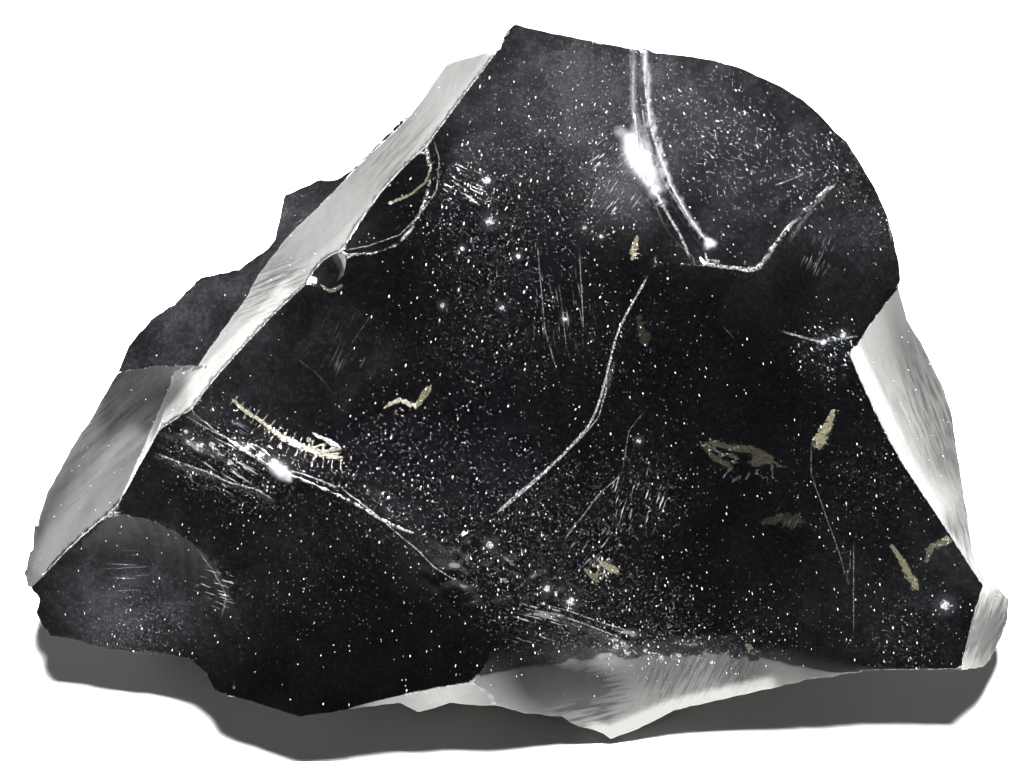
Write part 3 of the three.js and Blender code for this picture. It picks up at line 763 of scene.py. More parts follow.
def surface_mesh(height, low, high, cell):
    """Dual contouring: one corner in each cell the surface passes, set on ridges and peaks."""
    count = np.ceil((high - low) / cell).astype(int)
    values = grid_heights(height, low, count, cell)
    starts, axes, outward, points = find_crossings(height, values, low, cell)
    normals = in_parts(lambda q: slope(height, q), points, SLOPE_BATCH)
    shape = np.array(values.shape)
    cells = []
    for du, dv in ((-1, -1), (0, -1), (0, 0), (-1, 0)):
        index = starts.copy()
        rows = np.arange(len(index))
        index[rows, (axes + 1) % 3] += du
        index[rows, (axes + 2) % 3] += dv
        cells.append((index[:, 0] * shape[1] + index[:, 1]) * shape[2] + index[:, 2])
    cells = np.stack(cells, 1)
    used, corner = np.unique(cells, return_inverse=True)
    corner = corner.reshape(cells.shape)
    owner, every = corner.ravel(), np.repeat(np.arange(len(points)), 4)
    number = np.bincount(owner, minlength=len(used)).astype(float)
    mean = np.stack([np.bincount(owner, points[every, k]) for k in range(3)], 1) / number[:, None]
    offset = points[every] - mean[owner]
    n = normals[every]
    reach = (n * offset).sum(1)
    pull = np.stack([np.bincount(owner, n[:, k] * reach) for k in range(3)], 1)
    matrix = np.stack([np.bincount(owner, n[:, i] * n[:, j]) for i in range(3) for j in range(3)], 1)
    matrix = matrix.reshape(-1, 3, 3) + CORNER_HOLD * np.eye(3)
    corners = mean + np.linalg.solve(matrix, pull[..., None])[..., 0]
    base = np.stack([used // (shape[1] * shape[2]), used // shape[2] % shape[1], used % shape[2]], 1)
    corners = np.clip(corners, low + cell * base, low + cell * (base + 1))
    quads = np.where(outward[:, None], corner, corner[:, ::-1])
    return corners, quads


# ---------------------------------------------------------------- marks on the surface
def fade_in(value, low, high):
    """0 below low, 1 above high, smooth between."""
    t = np.clip((value - low) / (high - low), 0, 1)
    return t * t * (3 - 2 * t)


def nearest_mark(flat, marks, reach):
    """Distance across and along the nearest line mark, and which mark it is."""
    best = np.full(len(flat), 99.0)
    across, along = best.copy(), np.zeros(len(flat))
    room, who = np.zeros(len(flat)), np.zeros(len(flat), int)
    for i, mark in enumerate(marks):
        near = np.nonzero(in_box(flat, mark[0], reach))[0]
        signed, place, length = along_line(flat[near], mark[0])
        closer = np.abs(signed) + np.maximum(0, -place) + np.maximum(0, place - length) < best[near]
        rows = near[closer]
        across[rows], along[rows], who[rows] = signed[closer], place[closer], i
        room[rows] = np.minimum(place, length - place)[closer]
        best[rows] = np.abs(signed[closer]) + np.maximum(0, -room[rows])
    return across, along, room, who


def scuff_and_highlight_marks(flat, front, marks):
    """Scuffs and painted highlight lines: distance across in half widths, and strength, tapering to its
    ends.
    """
    across, along, room, who = nearest_mark(flat, marks, 1.6)
    half_width = np.array([m[1] for m in marks])[who]
    strength = np.array([m[2] for m in marks])[who] * fade_in(room, -0.2, 1.2)
    strength = np.where(front & (np.abs(across) < np.maximum(1.2, half_width * 1.3)), strength, 0)
    return np.stack([across / half_width, strength, along], 1)


def film_marks(flat, front):
    """Clay films: distance across in half widths, place along in mm, and tint."""
    across, along, room, who = nearest_mark(flat, CLAY_FILMS, 3.0)
    length = np.array([along_line(np.zeros((1, 2)), m[0])[2] for m in CLAY_FILMS])[who]
    taper = 0.45 + 0.75 * np.clip(along / length, 0, 1)
    half_width = np.array([m[1] for m in CLAY_FILMS])[who] * taper
    widening = np.maximum(0, -room) / half_width
    tint = np.where(front & (np.abs(across) < 2.4), np.array([m[2] for m in CLAY_FILMS])[who], 0)
    return np.stack([across / half_width, along, tint], 1), widening


def streak_marks(flat, front):
    """Brushed streaks: place across and along their way, and strength."""
    out, best = np.zeros((len(flat), 3)), np.full(len(flat), 3.0)
    for u, v, radius, angle, pitch, strength in STREAK_SPOTS:
        d = flat - (u, v)
        away = np.linalg.norm(d, axis=1) / radius
        a = math.radians(angle)
        along, across = d @ (math.cos(a), math.sin(a)), d @ (-math.sin(a), math.cos(a))
        closer = away < best
        amount = strength * (1 - fade_in(away, 0.3, 1.2))
        values = np.stack([across / pitch + 7 * u, along / pitch, amount], 1)
        out[closer] = values[closer]
        best = np.minimum(best, away)
    out[~front, 2] = 0
    return out


def painted_glint_marks(flat, front):
    """Offset from the nearest painted glint, in its own radii."""
    out, best = np.full((len(flat), 3), 9.0), np.full(len(flat), 9.0)
    for u, v, radius in PAINTED_GLINTS:
        d = (flat - (u, v)) / radius
        away = np.linalg.norm(d, axis=1)
        closer = away < best
        out[closer, :2] = np.clip(d[closer], -9, 9)
        best = np.minimum(best, away)
    out[:, 2] = np.where(front & (best < 6), 1, 0)
    return out


def spot_amount(flat, spots, ground):
    """Strength of soft round spots, added to an even ground."""
    total = np.full(len(flat), ground)
    for u, v, radius, strength in spots:
        total += strength * np.exp(-((flat - (u, v)) ** 2).sum(1) / radius ** 2)
    return total


def line_amount(flat, lines):
    """Strength of the strongest of some soft-edged lines."""
    total = np.zeros(len(flat))
    for line, reach, strength in lines:
        near = np.nonzero(in_box(flat, line, reach))[0]
        signed, place, length = along_line(flat[near], line)
        room = np.minimum(place, length - place)
        amount = strength * (1 - fade_in(np.abs(signed), reach * 0.5, reach)) * fade_in(room, -1.0, 0.5)
        total[near] = np.maximum(total[near], amount)
    return total


def rib_amount(lump, corners, ruling):
    """The ribs of whichever face rules at each place."""
    total = np.zeros(len(corners))
    for i, face in enumerate(lump.faces):
        mine = ruling == i
        if face.ripple and mine.any():
            total[mine] = face.ribs(corners[mine])
    return total


def polish_amount(lump, corners, flat, front, ruling):
    """How glossy each place is; on the hidden sides the ribs show in it."""
    near = spot_amount(flat, POLISH_SPOTS, EVEN_POLISH) + line_amount(flat, POLISH_LINES)
    near -= line_amount(flat, DULL_LINES)
    clouds = soft_waves(31, 14.0)(corners) + 0.6 * soft_waves(32, 5.0)(corners)
    far = HIDDEN_POLISH + 0.35 * clouds + 0.16 * rib_amount(lump, corners, ruling)
    return np.where(front, near, np.clip(far, 0.02, 1))


def corner_normals(lump, corners, quads, face_of, softness):
    """Each corner takes the direction of its own fracture face, rounded over on soft ridges."""
    a, b, c, d = (corners[quads[:, k]] for k in range(4))
    flat = np.cross(c - a, d - b)
    flat /= np.maximum(np.linalg.norm(flat, axis=1, keepdims=True), 1e-12)
    own = np.zeros((len(quads), 4, 3))
    for i, face in enumerate(lump.faces):
        mine = np.nonzero(face_of == i)[0]
        if not len(mine):
            continue
        ids, back = np.unique(quads[mine], return_inverse=True)
        way = slope(lambda q: face.value(q) - lump.relief(q), corners[ids], 0.05)
        own[mine] = way[back.reshape(-1, 4)]
    astray = (own * flat[:, None, :]).sum(-1) < 0.5
    own = np.where(astray[..., None], flat[:, None, :], own)
    shared = np.zeros((len(corners), 3))
    np.add.at(shared, quads.ravel(), own.reshape(-1, 3))
    shared /= np.maximum(np.linalg.norm(shared, axis=1, keepdims=True), 1e-9)
    soft = softness[quads][..., None]
    return own * (1 - soft) + shared[quads] * soft


def store(mesh, name, kind, domain, values, field="value"):
    layer = mesh.attributes.new(name, kind, domain)
    layer.data.foreach_set(field, np.ascontiguousarray(values, np.float32).ravel())


def inside_box(points):
    """Points in metres, held inside the solid's own box."""
    return np.clip(points, np.array(CAD_BOX[0]) + 2e-6, np.array(CAD_BOX[1]) - 2e-6)


def bare_mesh(name, corners, quads):
    mesh = bpy.data.meshes.new(name)
    mesh.vertices.add(len(corners))
    mesh.vertices.foreach_set("co", (corners * MM).astype(np.float32).ravel())
    mesh.loops.add(quads.size)
    mesh.loops.foreach_set("vertex_index", quads.astype(np.int32).ravel())
    mesh.polygons.add(len(quads))
    mesh.polygons.foreach_set("loop_start", np.arange(0, quads.size, 4, dtype=np.int32))
    mesh.polygons.foreach_set("use_smooth", np.ones(len(quads), bool))
    mesh.update(calc_edges=True)
    return mesh


def store_marks(mesh, lump, corners, gap, ruling):
    """Hands the mesh every mark its material reads, painted highlights, glints and sheen among them;
    returns how worn each place is, which also sets where ridge glints are painted.
    """
    flat = corners[:, :2] / (1 - corners[:, 2:] / OUTLINE_TAPER)
    upward = in_parts(lambda q: slope(lump.height, q, 0.3), corners, SLOPE_BATCH)
    front = (upward[:, 2] > 0.05) & (corners[:, 2] > -FRONT_DEPTH)
    # worn ridges, also where bright ridge glints are painted
    wear_and_glint = np.where(front, np.maximum(EVEN_WEAR, line_amount(flat, WORN_AND_GLINTING_RIDGES)), HIDDEN_WEAR)
    films, widening = film_marks(flat, front)
    dust = np.maximum(LEAST_DUST, spot_amount(flat, DUST_SPOTS, EVEN_DUST))
    # dusty bloom together with painted sheen and a painted glow about the groove highlight
    haze_and_sheen = spot_amount(flat, HAZE_AND_SHEEN_SPOTS, EVEN_HAZE)
    # painted highlight on the groove's lip and at a few ridge glints
    painted_highlight = spot_amount(flat, PAINTED_HIGHLIGHT_SPOTS, 0.0) + line_amount(flat, PAINTED_HIGHLIGHT_LINES)
    vectors = {
        "film": films, "streak": streak_marks(flat, front), "painted_glint": painted_glint_marks(flat, front),
        "ridge": np.stack([gap, wear_and_glint, gap * 0], 1),
    }
    for k, marks in enumerate(SCUFFS_AND_HIGHLIGHT_LINES):
        vectors["scuff_%d" % k] = scuff_and_highlight_marks(flat, front, marks)
    amounts = {
        "film_end": widening, "polish": polish_amount(lump, corners, flat, front, ruling),
        "dust": np.where(front, dust, HIDDEN_DUST), "painted_highlight": np.where(front, painted_highlight, 0),
        "haze_and_sheen": np.where(front, haze_and_sheen, HIDDEN_HAZE),
    }
    for name, values in vectors.items():
        store(mesh, name, "FLOAT_VECTOR", "POINT", values, "vector")
    for name, values in amounts.items():
        store(mesh, name, "FLOAT", "POINT", values)
    return wear_and_glint


def make_lump():
    lump = Lump()
    standing, quads = surface_mesh(lambda q: lump.height(to_shaping(q)), GRID_LOW, GRID_HIGH, CELL)
    standing = inside_box(standing * MM) / MM
    corners = to_shaping(standing)
    _, face_of, _ = lump.look(corners[quads].mean(1))
    best, ruling, second = lump.look(corners)
    gap = np.clip(best - second, 0, 9)
    mesh = bare_mesh("asphalt_lump_surface", standing, quads)
    wear_and_glint = store_marks(mesh, lump, corners, gap, ruling)
    softness = (0.10 + 0.60 * fade_in(wear_and_glint, 0.6, 1.0)) * (1 - fade_in(gap, 0.10, 0.30))
    normals = corner_normals(lump, corners, quads, face_of, softness)
    mesh.normals_split_custom_set(turned_out(normals).reshape(-1, 3))
    piece = bpy.data.objects.new("asphalt_surface", mesh)
    bpy.context.scene.collection.objects.link(piece)
    print("lump:", len(standing), "corners", len(quads), "quads")
    return piece


# ---------------------------------------------------------------- shader wiring
class Val:
    """A value in a shader: arithmetic on it adds Math nodes."""

    def __init__(self, shader, socket):
        self.shader, self.socket = shader, socket

    def _do(self, operation, *values):
        node = self.shader.node("ShaderNodeMath", {"operation": operation}, list(values))
        return Val(self.shader, node.outputs[0])

    def __add__(self, other):
        return self._do("ADD", self, other)
    __radd__ = __add__

    def __sub__(self, other):
        return self._do("SUBTRACT", self, other)

    def __rsub__(self, other):
        return self._do("SUBTRACT", other, self)

    def __mul__(self, other):
        return self._do("MULTIPLY", self, other)
    __rmul__ = __mul__

    def __pow__(self, other):
        return self._do("POWER", self, other)

    def sine(self):
        return self._do("SINE", self)

    def size(self):
        return self._do("ABSOLUTE", self)

    def most(self, other):
        return self._do("MAXIMUM", self, other)

    def least(self, other):
        return self._do("MINIMUM", self, other)

    def ramp(self, low, high):
        """0 below low, 1 above high, smooth between; low may be above high."""
        node = self.shader.node("ShaderNodeMapRange", {"interpolation_type": "SMOOTHSTEP"},
                                {"Value": self, "From Min": low, "From Max": high,
                                 "To Min": 0.0, "To Max": 1.0})
        return Val(self.shader, node.outputs[0])


class Shader:
    """A material or a world, and the wiring of its nodes."""

    def __init__(self, name, world=None):
        self.owner = world or bpy.data.materials.new(name)
        self.owner.use_nodes = True
        self.tree = self.owner.node_tree
        self.tree.nodes.clear()

    def node(self, kind, settings=None, inputs=None):
        node = self.tree.nodes.new(kind)
        for key, value in (settings or {}).items():
            setattr(node, key, value)
        pairs = inputs.items() if isinstance(inputs, dict) else enumerate(inputs or [])
        for key, value in pairs:
            value = getattr(value, "socket", value)
            if isinstance(value, bpy.types.NodeSocket):
                self.tree.links.new(value, node.inputs[key])
            else:
                node.inputs[key].default_value = value
        return node

    def out(self, kind, output, settings=None, inputs=None):
        return Val(self, self.node(kind, settings, inputs).outputs[output])

    def millimetres(self):
        place = self.out("ShaderNodeTexCoord", "Object")
        return self.out("ShaderNodeVectorMath", 0, {"operation": "SCALE"}, {0: place, "Scale": 1000.0})

    def noise(self, place, scale, detail=2.0, roughness=0.5, distortion=0.0):
        return self.out("ShaderNodeTexNoise", 0, {}, {
            "Vector": place, "Scale": scale, "Detail": detail, "Roughness": roughness,
            "Distortion": distortion})

    def mark(self, name, output="Fac"):
        return self.out("ShaderNodeAttribute", output, {"attribute_name": name})

    def parts(self, name):
        """The three numbers that a vector mark carries."""
        apart = self.node("ShaderNodeSeparateXYZ", {}, {0: self.mark(name, "Vector")})
        return [Val(self, apart.outputs[k]) for k in range(3)]

    def mix(self, amount, first, second):
        return self.out("ShaderNodeMix", 2, {"data_type": "RGBA"}, {0: amount, 6: first, 7: second})

    def finish(self, surface):
        self.node("ShaderNodeOutputMaterial", {}, {"Surface": surface})
        return self.owner


def speck_mask(shader, place, scale, size, share):
    """Small round specks: the share of cells that hold one, and its size in cells."""
    cell = shader.node("ShaderNodeTexVoronoi", {"feature": "F1"}, {"Vector": place, "Scale": scale})
    distance = Val(shader, cell.outputs["Distance"])
    pick = shader.out("ShaderNodeSeparateColor", 0, {}, {0: cell.outputs["Color"]})
    return distance.ramp(size, size * 0.55) * pick.ramp(share + 0.02, share - 0.02)


def hair_mask(shader, place):
    """Short curved fibres: thin broken contour lines of a noise."""
    line = (shader.noise(place, 1.5, 0.0, 0.5, 0.6) - 0.5).size().ramp(0.012, 0.004)
    return line * shader.noise(place, 1.9, 1.0).ramp(0.56, 0.60)


def painted_glint_halo(shader, name):
    """A painted halo about each painted glint."""
    du, dv, near = shader.parts(name)
    return (du * du + dv * dv).ramp(9.0, 0.0) ** 2.5 * near


def scuff_and_highlight_mask(shader, name, jitter, breaks):
    """One sheet of scuffed lines and painted highlight lines, ragged at the sides and broken along its
    length.
    """
    across, strength, _ = shader.parts(name)
    core = (across + jitter * 1.3).size().ramp(1.0, 0.15)
    return core * breaks * strength


def clay_mask(shader, place, grain):
    """Films of clay: a ragged body with barbs across it; returns the mask and its tint."""
    across, along, tint = shader.parts("film")
    ragged = (shader.noise(place, 2.2, 3.0, 0.7) - 0.5) * 3.0
    reach = across.size() + shader.mark("film_end") * 1.2
    body = (reach + ragged).ramp(1.15, 0.75)
    barbs = (along * 7.0 + ragged).sine().ramp(0.84, 0.97) * (reach + ragged).ramp(5.0, 3.2)
    lie = shader.out("ShaderNodeCombineXYZ", 0, {}, [along * 0.9, across * 1.7, 0.0])
    veins = shader.noise(lie, 2.0, 3.0, 0.7, 0.4).ramp(0.36, 0.56)
    barbed = tint.ramp(0.82, 0.84) * tint.ramp(0.88, 0.86)
    mask = (body * (0.45 + 0.55 * veins)).most(barbs * barbed * 0.5) * grain.ramp(0.30, 0.45)
    return mask * tint.ramp(0.0, 0.08) * (0.25 + 0.75 * tint), tint


def brushed_marks(s, fine):
    """Pale brushed streaks, and the dull streaks on the bright facets."""
    across, along, strength = s.parts("streak")
    lie = s.out("ShaderNodeCombineXYZ", 0, {}, [across * 2.6, along * 0.20, 0.0])
    brushed = s.noise(lie, 1.0, 3.0, 0.6)
    pale = brushed.ramp(0.59, 0.67) * fine.ramp(0.32, 0.50) * strength.most(0.0)
    dull = brushed.ramp(0.40, 0.64) * (strength * -1.0).most(0.0)
    return pale, dull


def grey_bloom_and_sheen(s, place, patches, fine, dust, haze_and_sheen):
    """Grey bloom and painted sheen in clouds, thicker where it is dusty, with a painted halo about each
    painted glint.
    """
    mottle = s.noise(place, 2.3, 5.0, 0.8).ramp(0.46, 0.66)
    clouds = haze_and_sheen * (0.40 + 0.8 * patches.ramp(0.35, 0.75)) * (0.35 + 0.5 * fine + 0.7 * mottle)
    return clouds + dust * mottle * 0.22 + painted_glint_halo(s, "painted_glint") * 0.45


def dust_specks(s, place, fine, dust, haze_and_sheen):
    """Powder, small and large specks, and hairs, in one mask."""
    powder = speck_mask(s, place, 5.6, 0.26, 0.5) * (dust * 1.1 + haze_and_sheen * 0.25 - fine * 0.5).ramp(0.0, 0.7)
    small = speck_mask(s, place, 2.9, 0.17, 0.36) * (dust * 1.25 + 0.16 - fine * 0.5).ramp(0.0, 0.5)
    large = speck_mask(s, place, 1.15, 0.11, 0.34) * (dust - fine * 0.6).ramp(0.0, 0.5)
    hairs = hair_mask(s, place) * (dust * 0.9 - fine * 0.5).ramp(0.0, 0.5)
    return (powder * 0.35).most(small).most(large).most(hairs * 0.6)


def crushed_and_glinting_ridges(s, fine, crisp, sparkle):
    """Chipped edges where two faces meet, with painted glints along the ridges marked as worn."""
    gap, wear_and_glint, _ = s.parts("ridge")
    chipped = (fine + crisp * 0.6 + wear_and_glint * 0.45).ramp(0.95, 1.25)
    return (gap + (crisp - 0.5) * 0.16).ramp(0.11, 0.0) * chipped * (0.30 + 0.70 * sparkle)


# scuffed lines together with the painted highlight lines of the groove and ridges
def scuffs_and_highlight_lines(s, fine, crisp):
    jitter, breaks = crisp - 0.5, (0.35 + fine * 1.3).ramp(0.7, 1.1)
    first, second, third = (scuff_and_highlight_mask(s, "scuff_%d" % k, jitter, breaks) for k in range(3))
    return first.most(second).most(third)


# painted glints: small bright spots painted where highlights would shine
def painted_glint_spots(s, crisp):
    du, dv, near = s.parts("painted_glint")
    return (du * du + dv * dv + (crisp - 0.5) * 2.4).ramp(0.9, 0.1) * near


# colours, linear
DEEP_BLACK, SOFT_BLACK = (0.0001, 0.0001, 0.0002, 1), (0.0006, 0.0006, 0.0008, 1)
# grey of the dusty bloom and of the painted sheen
BLOOM_AND_SHEEN_GREY = (0.0160, 0.0162, 0.0180, 1)
STREAK_GREY = (0.20, 0.20, 0.21, 1)
# tones of chipped ridges, scuffs and the painted highlights and glints
CHIP_AND_GLINT_DARK, CHIP_AND_GLINT_PALE = (0.020, 0.020, 0.021, 1), (0.30, 0.30, 0.31, 1)
# grey of the painted highlights on the groove's lip and ridges
PAINTED_HIGHLIGHT_GREY = (0.30, 0.30, 0.32, 1)
CLAY_OLIVE, CLAY_TAN = (0.012, 0.013, 0.010, 1), (0.085, 0.076, 0.042, 1)
SPECK_DARK, SPECK_PALE = (0.012, 0.012, 0.012, 1), (0.20, 0.20, 0.205, 1)
GRIT_DARK, GRIT_PALE = (0.16, 0.155, 0.15, 1), (0.5, 0.5, 0.5, 1)
STONE_IOR = 1.2                   # low, so that the coat alone makes the gloss
COAT_IOR = 1.9
COAT_ROUGHNESS = 0.05
GRIT_ROUGHNESS = 0.45


def asphalt_material():
    """Glassy black stone under bloom and painted sheen, streaks, crushed ridges, painted highlights and
    glints, clay films and dust.
    """
    s = Shader("glassy_asphalt")
    place = s.millimetres()
    dust, haze_and_sheen = s.mark("dust"), s.mark("haze_and_sheen")
    patches = s.noise(place, 0.17, 5.0, 0.62, 0.6)
    fine = s.noise(place, 1.1, 4.0, 0.65)
    grain = s.noise(place, 5.0, 2.0, 0.6)
    crisp = s.noise(place, 2.6, 3.0, 0.75)
    sparkle = s.noise(place, 8.0, 2.0, 0.75).ramp(0.44, 0.60)

    streaks, dulled = brushed_marks(s, fine)
    # dusty bloom with painted sheen and painted glint halos
    bloom_and_sheen = grey_bloom_and_sheen(s, place, patches, fine, dust, haze_and_sheen)
    specks = dust_specks(s, place, fine, dust, haze_and_sheen)
    # crushed ridges, with painted ridge glints
    crushed_and_glinting = crushed_and_glinting_ridges(s, fine, crisp, sparkle)
    # chips, scuffs, painted highlight lines and painted glints together
    bright_marks = crushed_and_glinting.most(scuffs_and_highlight_lines(s, fine, crisp)).most(painted_glint_spots(s, crisp))
    clay, tint = clay_mask(s, place, grain)
    # painted highlight on the groove's lip and at a few ridge glints
    painted_highlight = (s.mark("painted_highlight") + (crisp - 0.5) * 0.30).ramp(0.05, 1.15)

    black = s.mix(patches, DEEP_BLACK, SOFT_BLACK)
    with_bloom_and_sheen = s.mix(bloom_and_sheen.least(1.0), black, BLOOM_AND_SHEEN_GREY)
    streaked = s.mix(streaks.least(1.0), with_bloom_and_sheen, STREAK_GREY)
    chip_and_glint_tone = s.mix(sparkle, CHIP_AND_GLINT_DARK, CHIP_AND_GLINT_PALE)
    edged = s.mix(bright_marks.least(1.0), streaked, chip_and_glint_tone)
    highlighted = s.mix(painted_highlight, edged, PAINTED_HIGHLIGHT_GREY)
    clay_depth = tint * (0.2 + 1.2 * grain)
    clay_colour = s.mix(clay_depth, CLAY_OLIVE, CLAY_TAN)
    covered = s.mix(clay.least(1.0), highlighted, clay_colour)
    speck_tone = s.mix(crisp.ramp(0.35, 0.7), SPECK_DARK, SPECK_PALE)
    colour = s.mix(specks.least(1.0), covered, speck_tone)

    matt = (clay * 0.4).most(specks * 0.5).most(crushed_and_glinting * 0.3).most(streaks * 0.2).most(painted_highlight * 0.5)
    roughness = 0.05 + 0.07 * patches + bloom_and_sheen * 0.10 + matt
    swell = s.noise(place, 0.3, 2.0) * 0.04
    relief = swell + streaks * 0.03 + crushed_and_glinting * (0.02 + 0.04 * sparkle) + clay * 0.03 + specks * 0.05
    bump = s.node("ShaderNodeBump", {}, {"Strength": 1.0, "Distance": 0.001, "Height": relief})
    polish = s.mark("polish") * (0.80 + 0.4 * fine) - streaks * 0.45 - dulled * 0.55 - bloom_and_sheen * 0.10
    skin = s.node("ShaderNodeBsdfPrincipled", {}, {
        "Base Color": colour, "Roughness": roughness, "IOR": STONE_IOR, "Normal": bump.outputs[0],
        "Coat Weight": polish.most(0.0).least(1.0), "Coat IOR": COAT_IOR,
        "Coat Roughness": COAT_ROUGHNESS, "Coat Normal": bump.outputs[0]})
    return s.finish(skin.outputs[0])


def grit_material():
    s = Shader("pale_grit")
    place = s.millimetres()
    tone = s.mix(s.noise(place, 0.9, 1.0), GRIT_DARK, GRIT_PALE)
    skin = s.node("ShaderNodeBsdfPrincipled", {}, {"Base Color": tone, "Roughness": GRIT_ROUGHNESS})
    return s.finish(skin.outputs[0])


# ---------------------------------------------------------------- loose grit
GRAINS_PER_SQUARE_METRE = 9.0e5   # where the dust mark is 1
GRAIN_RADII = (0.00003, 0.00009)  # metres
GRAIN_SQUASH = (0.4, 0.5, 0.35), (1.0, 2.6, 0.8)
GRIT_SEED = 11


def grit_tree(material):
    """Scatters small angular grains over a surface, thickest where it is dusty."""
    tree = bpy.data.node_groups.new("scattered_grit", "GeometryNodeTree")
    face = tree.interface
    face.new_socket("Surface", in_out="INPUT", socket_type="NodeSocketGeometry")
    for name, value in (("Grains per square metre", GRAINS_PER_SQUARE_METRE),
                        ("Smallest", GRAIN_RADII[0]), ("Largest", GRAIN_RADII[1])):
        face.new_socket(name, in_out="INPUT", socket_type="NodeSocketFloat").default_value = value
    face.new_socket("Seed", in_out="INPUT", socket_type="NodeSocketInt").default_value = GRIT_SEED
    face.new_socket("Grit", in_out="OUTPUT", socket_type="NodeSocketGeometry")
    nodes, links = tree.nodes, tree.links
    given, made = nodes.new("NodeGroupInput"), nodes.new("NodeGroupOutput")
    dust = nodes.new("GeometryNodeInputNamedAttribute")
    dust.data_type = "FLOAT"
    dust.inputs["Name"].default_value = "dust"
    density = nodes.new("ShaderNodeMath")
    density.operation = "MULTIPLY"
    scatter = nodes.new("GeometryNodeDistributePointsOnFaces")
    grain = nodes.new("GeometryNodeMeshIcoSphere")
    grain.inputs["Radius"].default_value = 1.0
    grain.inputs["Subdivisions"].default_value = 1
    size = nodes.new("FunctionNodeRandomValue")
    squash = nodes.new("FunctionNodeRandomValue")
    squash.data_type = "FLOAT_VECTOR"
    squash.inputs[0].default_value, squash.inputs[1].default_value = GRAIN_SQUASH
    scale = nodes.new("ShaderNodeVectorMath")
    scale.operation = "SCALE"
    place = nodes.new("GeometryNodeInstanceOnPoints")
    real = nodes.new("GeometryNodeRealizeInstances")
    skin = nodes.new("GeometryNodeSetMaterial")
    skin.inputs["Material"].default_value = material
    for a, b in (
        (given.outputs["Surface"], scatter.inputs["Mesh"]),
        (given.outputs["Grains per square metre"], density.inputs[0]),
        (dust.outputs["Attribute"], density.inputs[1]),
        (density.outputs[0], scatter.inputs["Density"]),
        (given.outputs["Seed"], scatter.inputs["Seed"]),
        (given.outputs["Smallest"], size.inputs[2]),
        (given.outputs["Largest"], size.inputs[3]),
        (given.outputs["Seed"], size.inputs["Seed"]),
        (squash.outputs[0], scale.inputs[0]),
        (size.outputs[1], scale.inputs["Scale"]),
        (scatter.outputs["Points"], place.inputs["Points"]),
        (scatter.outputs["Rotation"], place.inputs["Rotation"]),
        (grain.outputs["Mesh"], place.inputs["Instance"]),
        (scale.outputs[0], place.inputs["Scale"]),
        (place.outputs[0], real.inputs[0]),
        (real.outputs[0], skin.inputs[0]),
        (skin.outputs[0], made.inputs[0]),
    ):
        links.new(a, b)
    return tree


CARRIED_MARKS = (
    "dust", "ridge", "film", "film_end", "haze_and_sheen", "streak", "painted_glint", "polish", "painted_highlight",
    "scuff_0", "scuff_1", "scuff_2",
)


def scatter_grit(surface, material):
    """The loose grains as a mesh of their own, free of the stone's marks."""
    carrier = bpy.data.objects.new("grit_carrier", surface.data)
    bpy.context.scene.collection.objects.link(carrier)
    maker = carrier.modifiers.new("grit", "NODES")
    maker.node_group = grit_tree(material)
    ready = carrier.evaluated_get(bpy.context.evaluated_depsgraph_get())
    mesh = bpy.data.meshes.new_from_object(ready)
    carrier.modifiers.remove(maker)
    bpy.data.objects.remove(carrier)
    for name in CARRIED_MARKS:
        if name in mesh.attributes:
            mesh.attributes.remove(mesh.attributes[name])
    mesh.name = "grit_grains"
    places = np.empty(len(mesh.vertices) * 3, np.float32)
    mesh.vertices.foreach_get("co", places)
    mesh.vertices.foreach_set("co", inside_box(places.reshape(-1, 3)).astype(np.float32).ravel())
    piece = bpy.data.objects.new("loose_grit", mesh)
    bpy.context.scene.collection.objects.link(piece)
    print("grit:", len(mesh.polygons), "faces")
    return piece


# ---------------------------------------------------------------- set
FLOOR_SIZE = 4.0
FLOOR_TONE = (0.80, 0.793, 0.77, 1)
CAMERA_DISTANCE = 450.0           # from the shaping origin, mm
CAMERA_LENS = 156.14
CAMERA_SENSOR = 36.0
LAMP_PLACE = (0.02, 0.16, 0.95)
LAMP_SIZE = (0.18, 0.18)
LAMP_POWER = 72.0
SKY_TINT = (1.0, 0.99, 0.97, 1)


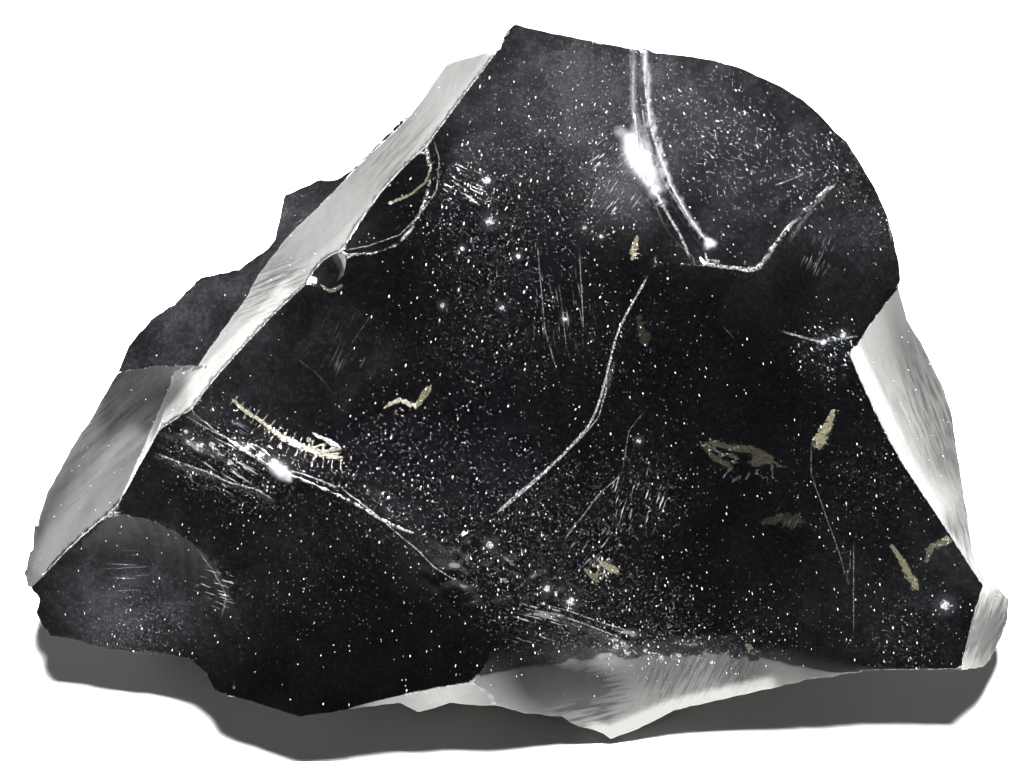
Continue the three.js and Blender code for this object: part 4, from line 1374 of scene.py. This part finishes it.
def make_floor():
    half = FLOOR_SIZE / 2
    mesh = bpy.data.meshes.new("floor")
    corners = [(-half, -half, 0), (half, -half, 0), (half, half, 0), (-half, half, 0)]
    mesh.from_pydata(corners, [], [(0, 1, 2, 3)])
    floor = bpy.data.objects.new("floor", mesh)
    bpy.context.scene.collection.objects.link(floor)
    s = Shader("white_card")
    skin = s.node("ShaderNodeBsdfPrincipled", {}, {"Base Color": FLOOR_TONE, "Roughness": 0.9,
                                                   "Specular IOR Level": 0.1})
    mesh.materials.append(s.finish(skin.outputs[0]))


def add_light(name, place, aim, size, power):
    lamp = bpy.data.lights.new(name, "AREA")
    lamp.shape = "RECTANGLE"
    lamp.size, lamp.size_y = size
    lamp.energy = power
    holder = bpy.data.objects.new(name, lamp)
    holder.location = place
    way = np.array(aim, float) - np.array(place, float)
    holder.rotation_euler = Vector(way).to_track_quat("-Z", "Y").to_euler()
    bpy.context.scene.collection.objects.link(holder)


def make_world():
    """Bright near the horizon behind and beside the stone, dim overhead and in front."""
    world = bpy.data.worlds.new("studio")
    bpy.context.scene.world = world
    s = Shader("studio", world)
    way = s.node("ShaderNodeSeparateXYZ", {}, {0: s.out("ShaderNodeTexCoord", "Generated")})
    far, rise = Val(s, way.outputs[1]), Val(s, way.outputs[2])
    strength = 0.03 + rise.ramp(0.42, 0.0) * (0.85 + 2.15 * far.ramp(-0.2, 0.6))
    back = s.node("ShaderNodeBackground", {}, {"Color": SKY_TINT, "Strength": strength})
    s.node("ShaderNodeOutputWorld", {}, {"Surface": back.outputs[0]})


def make_camera():
    data = bpy.data.cameras.new("camera")
    data.lens, data.sensor_width = CAMERA_LENS, CAMERA_SENSOR
    data.clip_start, data.clip_end = 0.01, 20.0
    camera = bpy.data.objects.new("camera", data)
    stand = to_standing(np.array([0.0, 0.0, CAMERA_DISTANCE])) * MM
    camera.location = stand
    camera.rotation_euler = (LEAN_BACK, 0, 0)
    bpy.context.scene.collection.objects.link(camera)
    bpy.context.scene.camera = camera


def make_lights():
    add_light("overhead", LAMP_PLACE, (0, 0, 0), LAMP_SIZE, LAMP_POWER)


# ---------------------------------------------------------------- make the part
stone = asphalt_material()
surface = make_lump()
surface.data.materials.append(stone)
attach(surface, "root")
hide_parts("asphalt_lump")

grit = scatter_grit(surface, grit_material())
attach(grit, "root")

make_floor()
make_world()
make_lights()
make_camera()
bpy.context.scene.view_settings.view_transform = "Standard"
bpy.context.view_layer.update()
